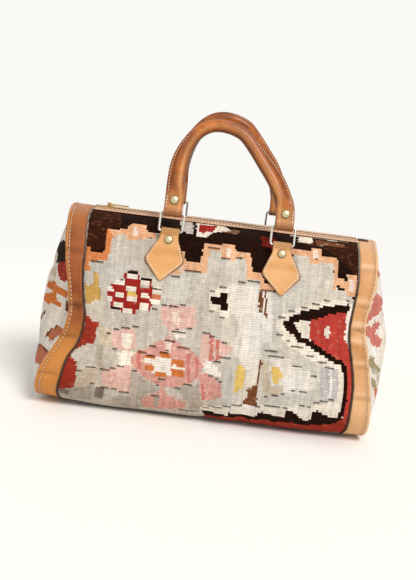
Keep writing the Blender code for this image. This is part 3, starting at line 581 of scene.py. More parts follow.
def tube(path, radius, sides, closed=True, squeeze=1.0):
    """(points, faces) of a tube along a path. radius is a number or one for each point."""
    path = np.asarray(path, float)
    count = len(path)
    radii = np.broadcast_to(radius, (count,))
    if closed:
        run = np.roll(path, -1, 0) - np.roll(path, 1, 0)
    else:
        run = np.gradient(path, axis=0)
    run /= np.linalg.norm(run, axis=1, keepdims=True)
    side = np.cross(run[0], (0.31, 0.52, 0.79))
    points = []
    for p, r, wide in zip(path, run, radii):
        side = side - r * np.dot(side, r)
        side /= np.linalg.norm(side)
        up = np.cross(r, side)
        points += [p + wide * (side * math.cos(a) + up * math.sin(a) * squeeze)
                   for a in np.arange(sides) * 2 * math.pi / sides]
    faces = grid_faces(count, sides, True)
    if closed:
        last = (count - 1) * sides
        # The frame turns a little by the time it is back at the start, so the last ring meets the nearest point.
        step = int(np.argmin([np.linalg.norm(points[last] - points[k]) for k in range(sides)]))
        for i in range(sides):
            j = (i + 1) % sides
            faces.append((last + i, last + j, (j + step) % sides, (i + step) % sides))
    else:
        faces += [tuple(reversed(range(sides))), tuple((count - 1) * sides + i for i in range(sides))]
    return points, faces


def turned_body(profile, middle, axis, steps):
    """(points, faces) of a profile of (radius, height) turned about an axis. It starts and ends on the axis."""
    frame_at = Matrix.Translation(middle) @ Vector(axis).to_track_quat("Z", "Y").to_matrix().to_4x4()
    points = [frame_at @ Vector((0, 0, profile[0][1]))]
    for r, z in profile[1:-1]:
        points += [frame_at @ Vector((r * math.cos(a), r * math.sin(a), z))
                   for a in np.arange(steps) * 2 * math.pi / steps]
    points.append(frame_at @ Vector((0, 0, profile[-1][1])))
    faces = [tuple(1 + i for i in f) for f in grid_faces(len(profile) - 2, steps, True)]
    last = 1 + (len(profile) - 3) * steps
    for i in range(steps):
        j = (i + 1) % steps
        faces += [(0, 1 + j, 1 + i), (last + i, last + j, len(points) - 1)]
    return [np.array(p) for p in points], [tuple(reversed(f)) for f in faces]


# ---- materials ----

def wool_kilim(cloth):
    """Wool slit tapestry, woven by hand: matt and hairy, with a rib over each warp and vertical streaks where one
    batch of yarn ends and the next starts. Its picks are 0.5 mm apart, and are drawn at 1.4 mm so that they show."""
    made, tree, shader = new_material("hand-woven wool kilim")
    place = add(tree, "SeparateXYZ", Vector=add(tree, "UVMap", {"uv_map": "cloth"}).outputs[0])
    along, down = place.outputs[0], place.outputs[1]
    row = add(tree, "Math", {"operation": "DIVIDE"}, in0=down, in1=cloth.rib).outputs[0]
    away = add(tree, "Math", {"operation": "PINGPONG"}, in0=row, in1=0.5).outputs[0]
    # Painted shade: how deep in the groove between two ribs a point lies.
    groove_shade = add(tree, "MapRange", {"interpolation_type": "SMOOTHSTEP"}, Value=away, From_Max=0.24, To_Min=1.0,
                 To_Max=0.0).outputs[0]
    number = add(tree, "Math", {"operation": "FLOOR"}, in0=row).outputs[0]
    pick_place = add(tree, "CombineXYZ", X=add(tree, "Math", {"operation": "DIVIDE"}, in0=along, in1=1.4 * MM).outputs[0],
                     Y=add(tree, "Math", {"operation": "MULTIPLY"}, in0=number, in1=3.7).outputs[0])
    pick = add(tree, "TexNoise", {"noise_dimensions": "2D"}, Vector=pick_place.outputs[0], Scale=1.0, Detail=1.0)
    streak_place = add(tree, "CombineXYZ", X=add(tree, "Math", {"operation": "DIVIDE"}, in0=along, in1=3.2 * MM).outputs[0],
                       Y=add(tree, "Math", {"operation": "DIVIDE"}, in0=down, in1=34 * MM).outputs[0])
    streak = add(tree, "TexNoise", {"noise_dimensions": "2D"}, Vector=streak_place.outputs[0], Scale=1.0, Detail=3.0,
                 Roughness=0.6)
    soil = add(tree, "TexNoise", Vector=add(tree, "TexCoord").outputs["Object"], Scale=1 / (48 * MM), Detail=2.0)
    level = add(tree, "MapRange", Value=streak.outputs[0], From_Min=0.3, From_Max=0.7, To_Min=1 - cloth.abrash,
                To_Max=1 + cloth.abrash).outputs[0]
    level = add(tree, "Math", {"operation": "MULTIPLY_ADD"}, in0=pick.outputs[0], in1=0.30, in2=level).outputs[0]
    level = add(tree, "Math", {"operation": "MULTIPLY_ADD"}, in0=soil.outputs[0], in1=0.24, in2=level).outputs[0]
    # Painted shade: the grooves between the ribs are darkened.
    level = add(tree, "Math", {"operation": "MULTIPLY_ADD"}, in0=groove_shade, in1=-0.26, in2=level).outputs[0]
    level = add(tree, "Math", {"operation": "SUBTRACT"}, in0=level, in1=0.27).outputs[0]
    spin = add(tree, "Attribute", {"attribute_name": "spin"}).outputs["Fac"]
    level = add(tree, "Math", {"operation": "MULTIPLY"}, in0=level, in1=spin).outputs[0]
    yarn = add(tree, "Attribute", {"attribute_name": "yarn"}).outputs["Color"]
    shade = add(tree, "VectorMath", {"operation": "SCALE"}, in0=yarn, Scale=level)
    tree.links.new(shade.outputs[0], shader.inputs["Base Color"])
    shader.inputs["Roughness"].default_value = 0.95
    shader.inputs["Specular IOR Level"].default_value = 0.08
    shader.inputs["Sheen Weight"].default_value = 0.02
    shader.inputs["Sheen Tint"].default_value = (0.9, 0.62, 0.42, 1)
    shader.inputs["Sheen Roughness"].default_value = 0.6
    hair = add(tree, "TexNoise", Vector=add(tree, "TexCoord").outputs["Object"], Scale=1 / (0.9 * MM), Detail=2.0)
    height = add(tree, "Math", {"operation": "MULTIPLY_ADD"}, in0=hair.outputs[0], in1=0.5, in2=pick.outputs[0]).outputs[0]
    bump = add(tree, "Bump", Strength=0.55, Distance=0.5 * MM, Height=height)
    tree.links.new(bump.outputs[0], shader.inputs["Normal"])
    return made


def cowhide(name, colour, deep, worn, rough, mottle=0.5, coat=0.0):
    """Cowhide tanned with bark and waxed by hand: a satin skin whose colour runs darker along its dyed seams and edges
    and with painted shade in creases, folds and on sides turned from the light, and lighter where it has been pulled or
    rubbed and with painted light and highlights. Its pores are 0.3 mm apart, and are drawn at 1.3 mm so that they show."""
    made, tree, shader = new_material(name)
    place = add(tree, "TexCoord").outputs["Object"]
    patch = add(tree, "TexNoise", Vector=place, Scale=1 / (38 * MM), Detail=3.0, Roughness=0.55)
    cloud = add(tree, "TexNoise", Vector=place, Scale=1 / (7 * MM), Detail=3.0, Roughness=0.6)
    pore = add(tree, "TexVoronoi", {"feature": "DISTANCE_TO_EDGE"}, Vector=place, Scale=1 / (1.3 * MM))
    skin = add(tree, "MapRange", Value=pore.outputs["Distance"], From_Max=0.12).outputs[0]
    share = add(tree, "Math", {"operation": "MULTIPLY_ADD"}, in0=cloud.outputs[0], in1=mottle, in2=patch.outputs[0])
    share = add(tree, "MapRange", Value=share.outputs[0], From_Min=0.42 + 0.35 * mottle, From_Max=0.58 + 0.65 * mottle)
    body = add(tree, "Mix", {"data_type": "RGBA"}, Factor=share.outputs[0])
    body.inputs[6].default_value, body.inputs[7].default_value = (*deep, 1), (*colour, 1)
    # Lighter where it is rubbed, and with painted light and highlights where a piece sets them.
    rub = add(tree, "Attribute", {"attribute_name": "rub"}).outputs["Fac"]
    pale = add(tree, "Mix", {"data_type": "RGBA"}, Factor=rub)
    tree.links.new(body.outputs[2], pale.inputs[6])
    pale.inputs[7].default_value = (*worn, 1)
    # Darker along dyed seams and edges, and with painted shade in creases, folds and on sides turned from the light.
    grime_and_shade = add(tree, "Attribute", {"attribute_name": "grime_and_shade"}).outputs["Fac"]
    dark = add(tree, "Mix", {"data_type": "RGBA"}, Factor=grime_and_shade)
    tree.links.new(pale.outputs[2], dark.inputs[6])
    dark.inputs[7].default_value = (*[c * 0.3 for c in deep], 1)
    level = add(tree, "MapRange", Value=skin, To_Min=0.88, To_Max=1.0).outputs[0]
    shade = add(tree, "VectorMath", {"operation": "SCALE"}, in0=dark.outputs[2], Scale=level)
    tree.links.new(shade.outputs[0], shader.inputs["Base Color"])
    gloss = add(tree, "MapRange", Value=cloud.outputs[0], From_Min=0.3, From_Max=0.7, To_Min=rough - 0.07,
                To_Max=rough + 0.1)
    tree.links.new(gloss.outputs[0], shader.inputs["Roughness"])
    shader.inputs["Specular IOR Level"].default_value = 0.35
    shader.inputs["Coat Weight"].default_value = coat
    shader.inputs["Coat Roughness"].default_value = 0.15
    crease = add(tree, "TexNoise", Vector=place, Scale=1 / (3.2 * MM), Detail=4.0, Roughness=0.6)
    height = add(tree, "Math", {"operation": "MULTIPLY_ADD"}, in0=skin, in1=0.25, in2=crease.outputs[0]).outputs[0]
    bump = add(tree, "Bump", Strength=0.35, Distance=0.5 * MM, Height=height)
    tree.links.new(bump.outputs[0], shader.inputs["Normal"])
    return made


def cut_edge(colour):
    """The cut edge of leather, dyed and rubbed with wax: darker and smoother than the skin."""
    made, tree, shader = new_material("burnished leather edge")
    fibre = add(tree, "TexNoise", Vector=add(tree, "TexCoord").outputs["Object"], Scale=1 / (1.1 * MM), Detail=2.0)
    level = add(tree, "MapRange", Value=fibre.outputs[0], To_Min=0.6, To_Max=1.35)
    base = add(tree, "VectorMath", {"operation": "SCALE"}, in0=tuple(colour), Scale=level.outputs[0])
    tree.links.new(base.outputs[0], shader.inputs["Base Color"])
    shader.inputs["Roughness"].default_value = 0.5
    return made


def linen_thread(name, colour):
    """Waxed linen thread, twisted: off-white and a little shiny, greyer where the twist turns under."""
    made, tree, shader = new_material(name)
    twist = add(tree, "TexNoise", Vector=add(tree, "TexCoord").outputs["Object"], Scale=1 / (0.9 * MM), Detail=1.0)
    level = add(tree, "MapRange", Value=twist.outputs[0], From_Min=0.3, From_Max=0.7, To_Min=0.78, To_Max=1.08)
    base = add(tree, "VectorMath", {"operation": "SCALE"}, in0=tuple(colour), Scale=level.outputs[0])
    tree.links.new(base.outputs[0], shader.inputs["Base Color"])
    shader.inputs["Roughness"].default_value = 0.6
    return made


def raw_wool(colour):
    """The kilim's cut edge, bound with raw wool: dull and uneven, pale near the zip and darker below."""
    made, tree, shader = new_material("raw wool welt")
    place = add(tree, "TexCoord").outputs["Object"]
    tuft = add(tree, "TexNoise", Vector=place, Scale=1 / (2.6 * MM), Detail=3.0, Roughness=0.7)
    level = add(tree, "MapRange", Value=tuft.outputs[0], From_Min=0.3, From_Max=0.7, To_Min=0.45, To_Max=1.5)
    pale = add(tree, "Mix", {"data_type": "RGBA"}, Factor=add(tree, "Attribute", {"attribute_name": "rub"}).outputs["Fac"])
    pale.inputs[6].default_value, pale.inputs[7].default_value = (*colour, 1), (*linear("8E8070"), 1)
    base = add(tree, "VectorMath", {"operation": "SCALE"}, in0=pale.outputs[2], Scale=level.outputs[0])
    tree.links.new(base.outputs[0], shader.inputs["Base Color"])
    shader.inputs["Roughness"].default_value = 0.95
    bump = add(tree, "Bump", Strength=0.8, Distance=0.5 * MM, Height=tuft.outputs[0])
    tree.links.new(bump.outputs[0], shader.inputs["Normal"])
    return made


def cotton_tape(colour):
    """Zip tape of brown cotton twill: dull, with a fine slanted weave. Its wales are 0.5 mm apart, drawn at 1 mm."""
    made, tree, shader = new_material("cotton twill tape")
    wale = add(tree, "TexWave", {"bands_direction": "DIAGONAL"}, Vector=add(tree, "TexCoord").outputs["Object"],
               Scale=1 / (6.3 * MM), Distortion=0.5)
    level = add(tree, "MapRange", Value=wale.outputs["Fac"], To_Min=0.7, To_Max=1.25)
    base = add(tree, "VectorMath", {"operation": "SCALE"}, in0=tuple(colour), Scale=level.outputs[0])
    tree.links.new(base.outputs[0], shader.inputs["Base Color"])
    shader.inputs["Roughness"].default_value = 0.9
    bump = add(tree, "Bump", Strength=0.4, Distance=0.2 * MM, Height=wale.outputs["Fac"])
    tree.links.new(bump.outputs[0], shader.inputs["Normal"])
    return made


def metal(name, colour, rough, tarnish, worn=0.25):
    """Plated or bare metal with handling marks: bright where it is rubbed, duller in patches, dark round its rim."""
    made, tree, shader = new_material(name)
    place = add(tree, "TexCoord").outputs["Object"]
    film = add(tree, "TexNoise", Vector=place, Scale=1 / (4.5 * MM), Detail=4.0, Roughness=0.65)
    share = add(tree, "MapRange", Value=film.outputs[0], From_Min=0.45, From_Max=0.75, To_Max=worn * 2)
    body = add(tree, "Mix", {"data_type": "RGBA"}, Factor=share.outputs[0])
    body.inputs[6].default_value, body.inputs[7].default_value = (*colour, 1), (*tarnish, 1)
    rim = add(tree, "Attribute", {"attribute_name": "grime_and_shade"}).outputs["Fac"]
    ringed = add(tree, "Mix", {"data_type": "RGBA"}, Factor=rim)
    tree.links.new(body.outputs[2], ringed.inputs[6])
    ringed.inputs[7].default_value = (*[c * 0.4 for c in tarnish], 1)
    tree.links.new(ringed.outputs[2], shader.inputs["Base Color"])
    shader.inputs["Metallic"].default_value = 1.0
    dull = add(tree, "MapRange", Value=film.outputs[0], From_Min=0.35, From_Max=0.7, To_Min=rough, To_Max=rough + worn)
    tree.links.new(dull.outputs[0], shader.inputs["Roughness"])
    scratch = add(tree, "TexNoise", Vector=place, Scale=1 / (0.8 * MM), Detail=3.0)
    bump = add(tree, "Bump", Strength=0.12, Distance=0.1 * MM, Height=scratch.outputs[0])
    tree.links.new(bump.outputs[0], shader.inputs["Normal"])
    return made


STAINED = "linen thread, stained by the leather"


def shared(name, make, *values):
    """A material that several pieces use is made once."""
    return bpy.data.materials.get(name) or make(*values)


# ---- the woven cloth ----

def front_fields():
    return fields_of(FRONT)


def rear_fields():
    """The unseen rear: the front's motifs in other yarns, from the far end of the cloth."""
    swap = {"PEACH": "GOLD", "COPPER": "GOLD", "PINK": "PEACH", "ROSY": "COPPER", "RED": "WINE", "GOLD": "CORAL",
            "ROSE": "ORANGE", "BROWN": "WINE", "SLATE": "OLIVE", "BLUSH": "SAND", "SCARLET": "BRICK"}
    return [(swap.get(name, name), pts * (1, -1) + (0, GIRTH_LONG)) for name, pts in front_fields()]


def base_fields():
    """The unseen base: plain ground between two striped borders."""
    made = []
    for a, b, name in ((246, 250, "DARK"), (250, 256, "SAND"), (256, 259, "RUST"), (259, 264, "CREAM"),
                       (264, 266, "DARK")):
        for low, high in ((a, b), (GIRTH_LONG / MM - b, GIRTH_LONG / MM - a)):
            made.append((name, np.array([(-166, low), (166, low), (166, high), (-166, high)]) * MM))
    for x in range(-132, 140, 44):
        for reach, name in ((16, "WINE"), (11, "CREAM"), (6, "ORANGE")):
            diamond = np.array([(x - reach, 0), (x, -reach), (x + reach, 0), (x, reach)]) * MM
            made.append((name, diamond + (0, GIRTH_LONG / 2)))
    return made


def patches(x, y, long, tall, rng):
    """Smooth random numbers between -1 and 1 over the cloth, in patches of about the given size."""
    u, v = (x - x.min()) / long, (y - y.min()) / tall
    grid = rng.uniform(-1, 1, (int(v.max()) + 2, int(u.max()) + 2))
    i, j = u.astype(int), v.astype(int)
    a, b = ease(u - i, 0, 1), ease(v - j, 0, 1)
    return ((grid[j, i] * (1 - a) + grid[j, i + 1] * a) * (1 - b)
            + (grid[j + 1, i] * (1 - a) + grid[j + 1, i + 1] * a) * b)


def dyed(colours, x, y, rng):
    """The linear colour of each cell, with other wool caught in it here and there."""
    names = list(YARN)
    yarns = np.array([linear(c) for c in YARN.values()])
    shown = yarns[colours]
    for yarn, share, caught in FLECKS:
        fleck = rng.random(colours.shape) < share / 2
        fleck |= np.roll(fleck, 1, 1)
        fleck &= colours == names.index(yarn)
        shown[fleck] += (yarns[names.index(caught)] - shown[fleck]) * rng.uniform(0.05, 0.5, (fleck.sum(), 1))
    warm = patches(x, y, 30 * MM, 45 * MM, rng)[..., None] * (0.035, 0.0, -0.05)
    return shown * (1 + warm)


def spun(x, y, rng):
    """How light the yarn is at each point: batches differ in upright streaks, and hand-spun wool runs lighter and
    darker along its rib."""
    streak = patches(x, y, 4.5 * MM, 70 * MM, rng) + 0.7 * patches(x, y, 9 * MM, 30 * MM, rng)
    rib = patches(x, y, 7 * MM, 2.5 * MM, rng) + 0.7 * patches(x, y, 2.5 * MM, 2.5 * MM, rng)
    return (1 + 0.085 * streak + 0.085 * rib).ravel()


def slits(colours, rng):
    """Which cells show a slit at their lower edge: some long level edges between two yarns have one."""
    found = np.zeros(colours.shape, bool)
    for r in range(colours.shape[0] - 1):
        differ = np.flatnonzero(colours[r] != colours[r + 1])
        for run in np.split(differ, np.flatnonzero(np.diff(differ) > 1) + 1):
            if len(run) >= 3 and rng.random() < 0.10:
                long = min(len(run) - 1, int(rng.integers(2, 7)))
                first = run[0] + int(rng.integers(0, len(run) - long + 1))
                found[r, first:first + long] = True
    return found


def make_body(cloth):
    rng = np.random.default_rng(11)
    ribs = round(GIRTH_LONG / cloth.rib)
    along = np.linspace(-HALF_SPAN + 3 * MM, HALF_SPAN - 3 * MM, 178)
    down = np.linspace(0, GIRTH_LONG, 2 * ribs + 1)
    x, s = np.meshgrid(along, down)
    near = np.minimum(s, GIRTH_LONG - s)
    crest = np.where(np.arange(len(down)) % 2, 1, -1)[:, None] * cloth.rise * ease(near, 8 * MM, 14 * MM)
    lift = crest - LET_IN * ease(np.abs(x), BAND_IN - 2.6 * MM, BAND_IN - 0.5 * MM)
    points = on_bag(x, s, lift)
    cell_x, cell_s = np.meshgrid((along[1:] + along[:-1]) / 2, down[1::2])
    wander = rng.normal(0, 0.25 * MM, (ribs, 1)) + 0.5 * MM * patches(cell_x, cell_s, 20 * MM, 6 * MM, rng)
    fields = front_fields() + base_fields() + rear_fields()
    colours = woven(cell_x + wander, cell_s, fields, "GREY")
    open_slits = slits(colours, rng)
    sewn_slits = np.zeros(colours.shape, bool)
    for mark in SLITS.split():
        mx, ms, long = (float(v) * MM for v in mark.split(","))
        r = min(ribs - 2, int(ms / cloth.rib))
        sewn_slits[r, (cell_x[r] >= mx) & (cell_x[r] <= mx + long)] = True
    open_slits |= sewn_slits
    paint = dyed(colours, cell_x, cell_s, rng)
    cells = np.stack([paint, paint], 1)
    # Painted shade: each slit's opening is drawn as a dark line in the darkest yarn's colour. Below a listed slit, the
    # next rib's first half is half darkened too.
    slit_shade = np.array(linear(YARN["DARK"]))
    cells[:, 1][open_slits] += (slit_shade - cells[:, 1][open_slits]) * rng.uniform(0.7, 1.0, (int(open_slits.sum()), 1))
    cells[1:, 0][sewn_slits[:-1]] += (slit_shade - cells[1:, 0][sewn_slits[:-1]]) * 0.5
    faces = [f[::-1] for f in grid_faces(len(down), len(along))]
    obj = mesh_object("kilim", points.reshape(-1, 3), faces, wool_kilim(cloth))
    corner_values(obj.data, "yarn", "FLOAT_COLOR", cells.reshape(-1, 3))
    point_values(obj.data, "spin", spun(x, s, rng))
    point_map(obj.data, "cloth", np.column_stack([x.ravel(), s.ravel()]))
    return carry(obj, "bag", "kilim", "kilim_body")


RIM = GIRTH_LINE - GIRTH_NORMAL * LET_IN
RIM_FRONT = RIM[:len(RIM) // 2][RIM[:len(RIM) // 2, 1] > LET_IN + 0.02 * MM]
DOME_MIDDLE = 0.45 * HEIGHT


def on_gusset(side, y, z, lift):
    """Points of the bulging end. side is -1 at the left, y through the bag, z up."""
    angles = np.arctan2(RIM[:, 1] - DOME_MIDDLE, RIM[:, 0])
    order = np.argsort(angles)
    reach = np.hypot(RIM[:, 0], RIM[:, 1] - DOME_MIDDLE)[order]
    share = np.hypot(y, z - DOME_MIDDLE) / np.interp(np.arctan2(z - DOME_MIDDLE, y), angles[order], reach,
                                                     period=2 * math.pi)
    u, v = y / MM + 40 * side, z / MM
    soft = (1.5 * np.sin(u / 21 + v / 37) * np.sin(v / 23 + 1 + side) + 0.9 * np.sin(u / 12 - v / 16)
            - 2.6 * np.exp(-((v - 118 - 0.35 * u * side) / 9) ** 2)) * np.clip(1 - share**2, 0, 1) * MM
    out = HALF_SPAN + GUSSET_BULGE * (1 - (share / 0.955) ** 2) + soft + lift
    near = np.interp(z, RIM_FRONT[::-1, 1], GIRTH[:len(RIM_FRONT)][::-1])
    moved = drift(np.full_like(y, side * HALF_SPAN), near, y) * (0.25 + 0.75 * ease(share, 0.3, 0.93))
    return curled(np.full_like(y, side * HALF_SPAN), np.stack([side * out + moved, y, z], -1))


def make_gusset(cloth, side, name):
    rng = np.random.default_rng(23 + side)
    low, high = LET_IN + 0.3 * MM, RIM[:, 1].max() - 0.2 * MM
    ribs = round((high - low) / cloth.rib)
    heights = np.linspace(low, high, 2 * ribs + 1)
    half = np.interp(heights, RIM_FRONT[::-1, 1], -RIM_FRONT[::-1, 0])
    across = np.linspace(-1, 1, 66)
    y, z = across[None, :] * half[:, None], np.repeat(heights[:, None], 66, 1)
    crest = np.where(np.arange(len(heights)) % 2, 1, -1)[:, None] * cloth.rise
    points = on_gusset(side, y, z, crest)
    cell_y = (y[1::2, 1:] + y[1::2, :-1]) / 2 + rng.normal(0, 0.45 * MM, (ribs, 1))
    cell_z = np.repeat(heights[1::2, None], 65, 1)
    fields = fields_of(GUSSET[name])
    fields += [(n, pts * (-1, 1)) for n, pts in fields_of(GUSSET["right" if side < 0 else "left"])]
    colours = woven(cell_y, cell_z, fields, "IVORY")
    cells = np.repeat(dyed(colours, cell_y, cell_z, rng), 2, 0).reshape(-1, 3)
    faces = grid_faces(len(heights), 66)
    obj = mesh_object("kilim_gusset_" + name, points.reshape(-1, 3), faces if side > 0 else [f[::-1] for f in faces],
                      shared("hand-woven wool kilim", wool_kilim, cloth))
    corner_values(obj.data, "yarn", "FLOAT_COLOR", cells)
    point_values(obj.data, "spin", spun(y, z, rng))
    point_map(obj.data, "cloth", np.column_stack([y.ravel(), z.ravel() - low]))
    return carry(obj, "bag", "kilim", "gusset_" + name)


# ---- leather bands, welts and their stitches ----

def make_band(leather, side, name):
    """A strip of hide round the whole end of the bag, turned over at its outer edge."""
    t = BAND_THICK / MM
    shape = [(0, -t), (-0.25, -0.75 * t), (-0.3, -0.3 * t), (0.1, 0.05), (1, 0.22), (4, 0.3), (9, 0.35), (14, 0.3),
             (18.2, 0.25), (20.2, 0.0), (21.3, 0.55), (22.6, 1.0), (23.9, 0.75), (24.6, -0.1), (24.5, -1.2),
             (23.6, -t), (14, -t)]
    shape = [(a * MM, b * MM) for a, b in shape]
    down = np.linspace(-9 * MM, GIRTH_LONG + 9 * MM, 401)[:-1]
    rows = []
    for s in down:
        a = np.array([p[0] for p in shape])
        b = np.array([p[1] for p in shape])
        rows.append(on_bag(side * (BAND_IN + a), np.full(len(a), s), b))
    count = len(shape)
    faces = grid_faces(len(rows) + 1, count, True)
    total = len(rows) * count
    faces = [tuple(i % total for i in f) for f in faces]
    if side > 0:
        faces = [f[::-1] for f in faces]
    obj = mesh_object("band_leather_" + name, np.concatenate(rows), faces, leather)
    # Lighter along the band's worn edges: its inner edge and the top of its turned outer edge.
    rub = np.array([0, 0.1, 0.2, 0.35, 0.15, 0, 0, 0, 0, 0.1, 0.35, 0.75, 0.5, 0.1, 0, 0, 0])
    near = np.minimum(down, GIRTH_LONG - down)
    # Painted light: the lower part of each band, the left one more, and its top near the zip are painted lighter where
    # they face the light.
    low = (0.9 if side < 0 else 0.45) * ease(near, 130 * MM, 185 * MM) + 0.4 * (1 - ease(near, 15 * MM, 75 * MM))
    # Painted highlights: a glint beside each crease, strong on the right band and faint on the left.
    crease_glint = sum(np.exp(-((near / MM - at + 5.5) / 3.4) ** 2) * abs(deep) for at, deep, wide in BAND_CREASES[side])
    low = np.maximum(low, np.minimum((0.1 if side < 0 else 0.6) * crease_glint, 0.95))
    point_values(obj.data, "rub", np.maximum(rub[None, :], low[:, None]).ravel())
    # Darker along the dyed inner edge and the underside, with painted shade in the groove before the turned edge.
    edge_dye_and_shade = np.array([0.9, 0.9, 0.7, 0.35, 0.1, 0, 0, 0, 0.15, 0.45, 0.1, 0, 0, 0.3, 0.7, 0.7, 0.7])
    # Painted shade in the creases, and in the middle of the left band, where it faces away from the light.
    crease_shade = sum(np.exp(-((near / MM - at) / 2.2) ** 2) * deep for at, deep, wide in BAND_CREASES[side] if deep > 0)
    shade = 0.25 * crease_shade + (0.14 * ease(near, 60 * MM, 80 * MM) * (1 - ease(near, 135 * MM, 160 * MM)) if side < 0 else 0)
    point_values(obj.data, "grime_and_shade", np.maximum(edge_dye_and_shade[None, :], shade[:, None]).ravel())
    return carry(obj, "bag", "band_leather", "band_" + name)


def make_band_stitches(leathers, side, name, thread):
    down = np.linspace(0, GIRTH_LONG, 700)
    x = np.full(down.shape, side * (BAND_IN + leathers.band_stitch_in))
    places = on_bag(x, down, 0.22 * MM)
    points, faces = stitches(places, facing(down), leathers.stitch_pitch, leathers.stitch_pitch * 0.72, 0.75 * MM)
    return carry(mesh_object("band_stitches_" + name, pressed(points), faces, thread), "bag", "band_leather")


def make_welt(side, name, wool):
    """The raw edge of the kilim, rolled and sewn in along the inner edge of the band."""
    down = np.linspace(-8 * MM, GIRTH_LONG + 8 * MM, 430)
    x = np.full(down.shape, side * (BAND_IN - 1.1 * MM))
    wobble = 0.22 * np.sin(down / MM / 2.1) + 0.16 * np.sin(down / MM / 0.93 + 1)
    path = on_bag(x + wobble * 0.8 * MM, down, 0.15 * MM)
    points, faces = tube(path, (1.0 + wobble * 0.7) * MM, 7, False)
    obj = mesh_object("welt_" + name, pressed(points), faces, wool)
    pale = 0.85 * (1 - ease(np.minimum(down, GIRTH_LONG - down), 45 * MM, 85 * MM))
    point_values(obj.data, "rub", np.repeat(pale, 7))
    return carry(obj, "bag", "kilim")


# ---- zip ----

def ridge_height(y):
    """Height of the cloth at a distance from the middle of the zip."""
    half = half_section(8)
    return float(np.interp(abs(y), half[:60, 0], half[:60, 1]))


def make_strip(side, name, leather, edge):
    """The leather strip beside the zip, laid along the edge of the cloth, its cut edges dyed dark."""
    lead = [(0.0, 0.05), (0.0, 0.7), (0.25, 1.2), (0.9, 1.5), (3, 1.5), (6.5, 1.55), (10, 1.5), (12.1, 1.5),
            (12.75, 1.2), (13, 0.7), (13, 0.05), (6.5, 0.05)]
    rows = []
    for x in np.linspace(-1, 1, 95):
        wave = 0.18 * math.sin(x * 23) + 0.12 * math.sin(x * 51 + 1)
        row = []
        for a, b in lead:
            y = STRIP_IN + (a + wave * min(1, a / 6)) * MM
            bed = max(ridge_height(y), STRIP_BED)
            row.append((x * (BAND_IN - 0.6 * MM), side * y, bed + (b + 0.12 * wave) * MM))
        rows.append(row)
    obj = loft("zip_strip_leather_" + name, rows, [leather, edge], turn=side < 0)
    for polygon in obj.data.polygons:
        if polygon.index < (len(rows) - 1) * len(lead) and polygon.index % len(lead) in (0, 1, 9, 10):
            polygon.material_index = 1
    point_values(obj.data, "rub", [0.05, 0.3, 0.7, 0.5, 0, 0, 0, 0.5, 0.7, 0.3, 0.05, 0] * len(rows))
    return carry(obj, "bag", "tan_leather", "zip_strip_" + name)


def make_strip_stitches(side, name, thread, pitch):
    parts = []
    for inset in (1.9 * MM, 11.2 * MM):
        y = STRIP_IN + inset
        top = max(ridge_height(y), STRIP_BED) + 1.5 * MM
        line = [(x, side * y, top) for x in np.linspace(-BAND_IN + 2 * MM, BAND_IN - 2 * MM, 90)]
        parts.append(stitches(line, [(0, 0, 1)] * 90, pitch, pitch * 0.7, 0.75 * MM))
    points, faces = joined(parts)
    return carry(mesh_object("zip_strip_stitches_" + name, points, faces, thread), "bag", "tan_leather")


def make_teeth(side, name, pitch, metal_):
    """A row of stamped teeth, each with a head towards the middle and two legs gripping the tape."""
    low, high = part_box("zip_teeth_" + name)
    middle, tall = (low.z + high.z) / 2, (high.z - low.z) / 2
    parts = []
    count = int((high.x - low.x) / pitch)
    for i in range(count):
        x = low.x + pitch * (i + (0.28 if side < 0 else 0.78))
        if x > high.x - 0.5 * MM:
            continue
        rows = []
        for y, wide, up in ((0.62, 0.30, 0.55), (0.78, 0.46, 0.8), (1.35, 0.50, 0.85), (1.6, 0.36, 0.9),
                            (2.3, 0.36, 1.0), (2.6, 0.30, 0.9)):
            w, h = wide * pitch, up * tall
            ring = [(-w, -0.7 * h), (-0.7 * w, -h), (0.7 * w, -h), (w, -0.7 * h), (w, 0.7 * h), (0.7 * w, h),
                    (-0.7 * w, h), (-w, 0.7 * h)]
            rows.append([(x + a, side * y * MM, middle + b) for a, b in ring])
        faces = grid_faces(len(rows), 8, True)
        faces += [tuple(reversed(range(8))), tuple(range(40, 48))]
        if side > 0:
            faces = [f[::-1] for f in faces]
        parts.append((np.concatenate(rows), faces))
    points, faces = joined(parts)
    return carry(mesh_object("zip_tooth_row_" + name, points, faces, metal_), "bag", "zip_teeth", "zip_teeth_" + name)


def soften_edges(node, mat, width):
    """A CAD node keeps its shape and takes a material and a fine rounding of its edges."""
    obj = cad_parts[node]
    for slot in obj.material_slots:
        slot.material = mat
    weld = obj.modifiers.new("weld", "WELD")
    weld.merge_threshold = 1e-5
    bevel = obj.modifiers.new("rounding", "BEVEL")
    bevel.width, bevel.segments, bevel.angle_limit = width, 2, math.radians(40)
    bevel.harden_normals = False
    return obj


# ---- chapes: the tan leather loops that carry the rings ----

def bed_line():
    """The chape's bed as (outward, up) from the ring's foot to well below its tip, and its length along."""
    half, coarse = half_section(8), half_section(2)
    leave = int(np.argmax(coarse[:, 1] < CHAPE_LEAVES_AT * HEIGHT))
    start = coarse[leave]
    up = coarse[leave - 1] - coarse[leave + 1]
    up /= np.linalg.norm(up)
    out = np.array([up[1], -up[0]])
    lift = SEW_GAP + CHAPE_THICK + EYE
    rise = (LOOP_HEIGHT - start[1] - lift * out[1]) / up[1]
    line = np.vstack([[start + up * rise], [start], half[4 * leave + 1:]])
    along = np.concatenate([[0], np.cumsum(np.linalg.norm(np.diff(line, axis=0), axis=1))])
    return line, along, lift


BED, BED_LONG, EYE_LIFT = bed_line()


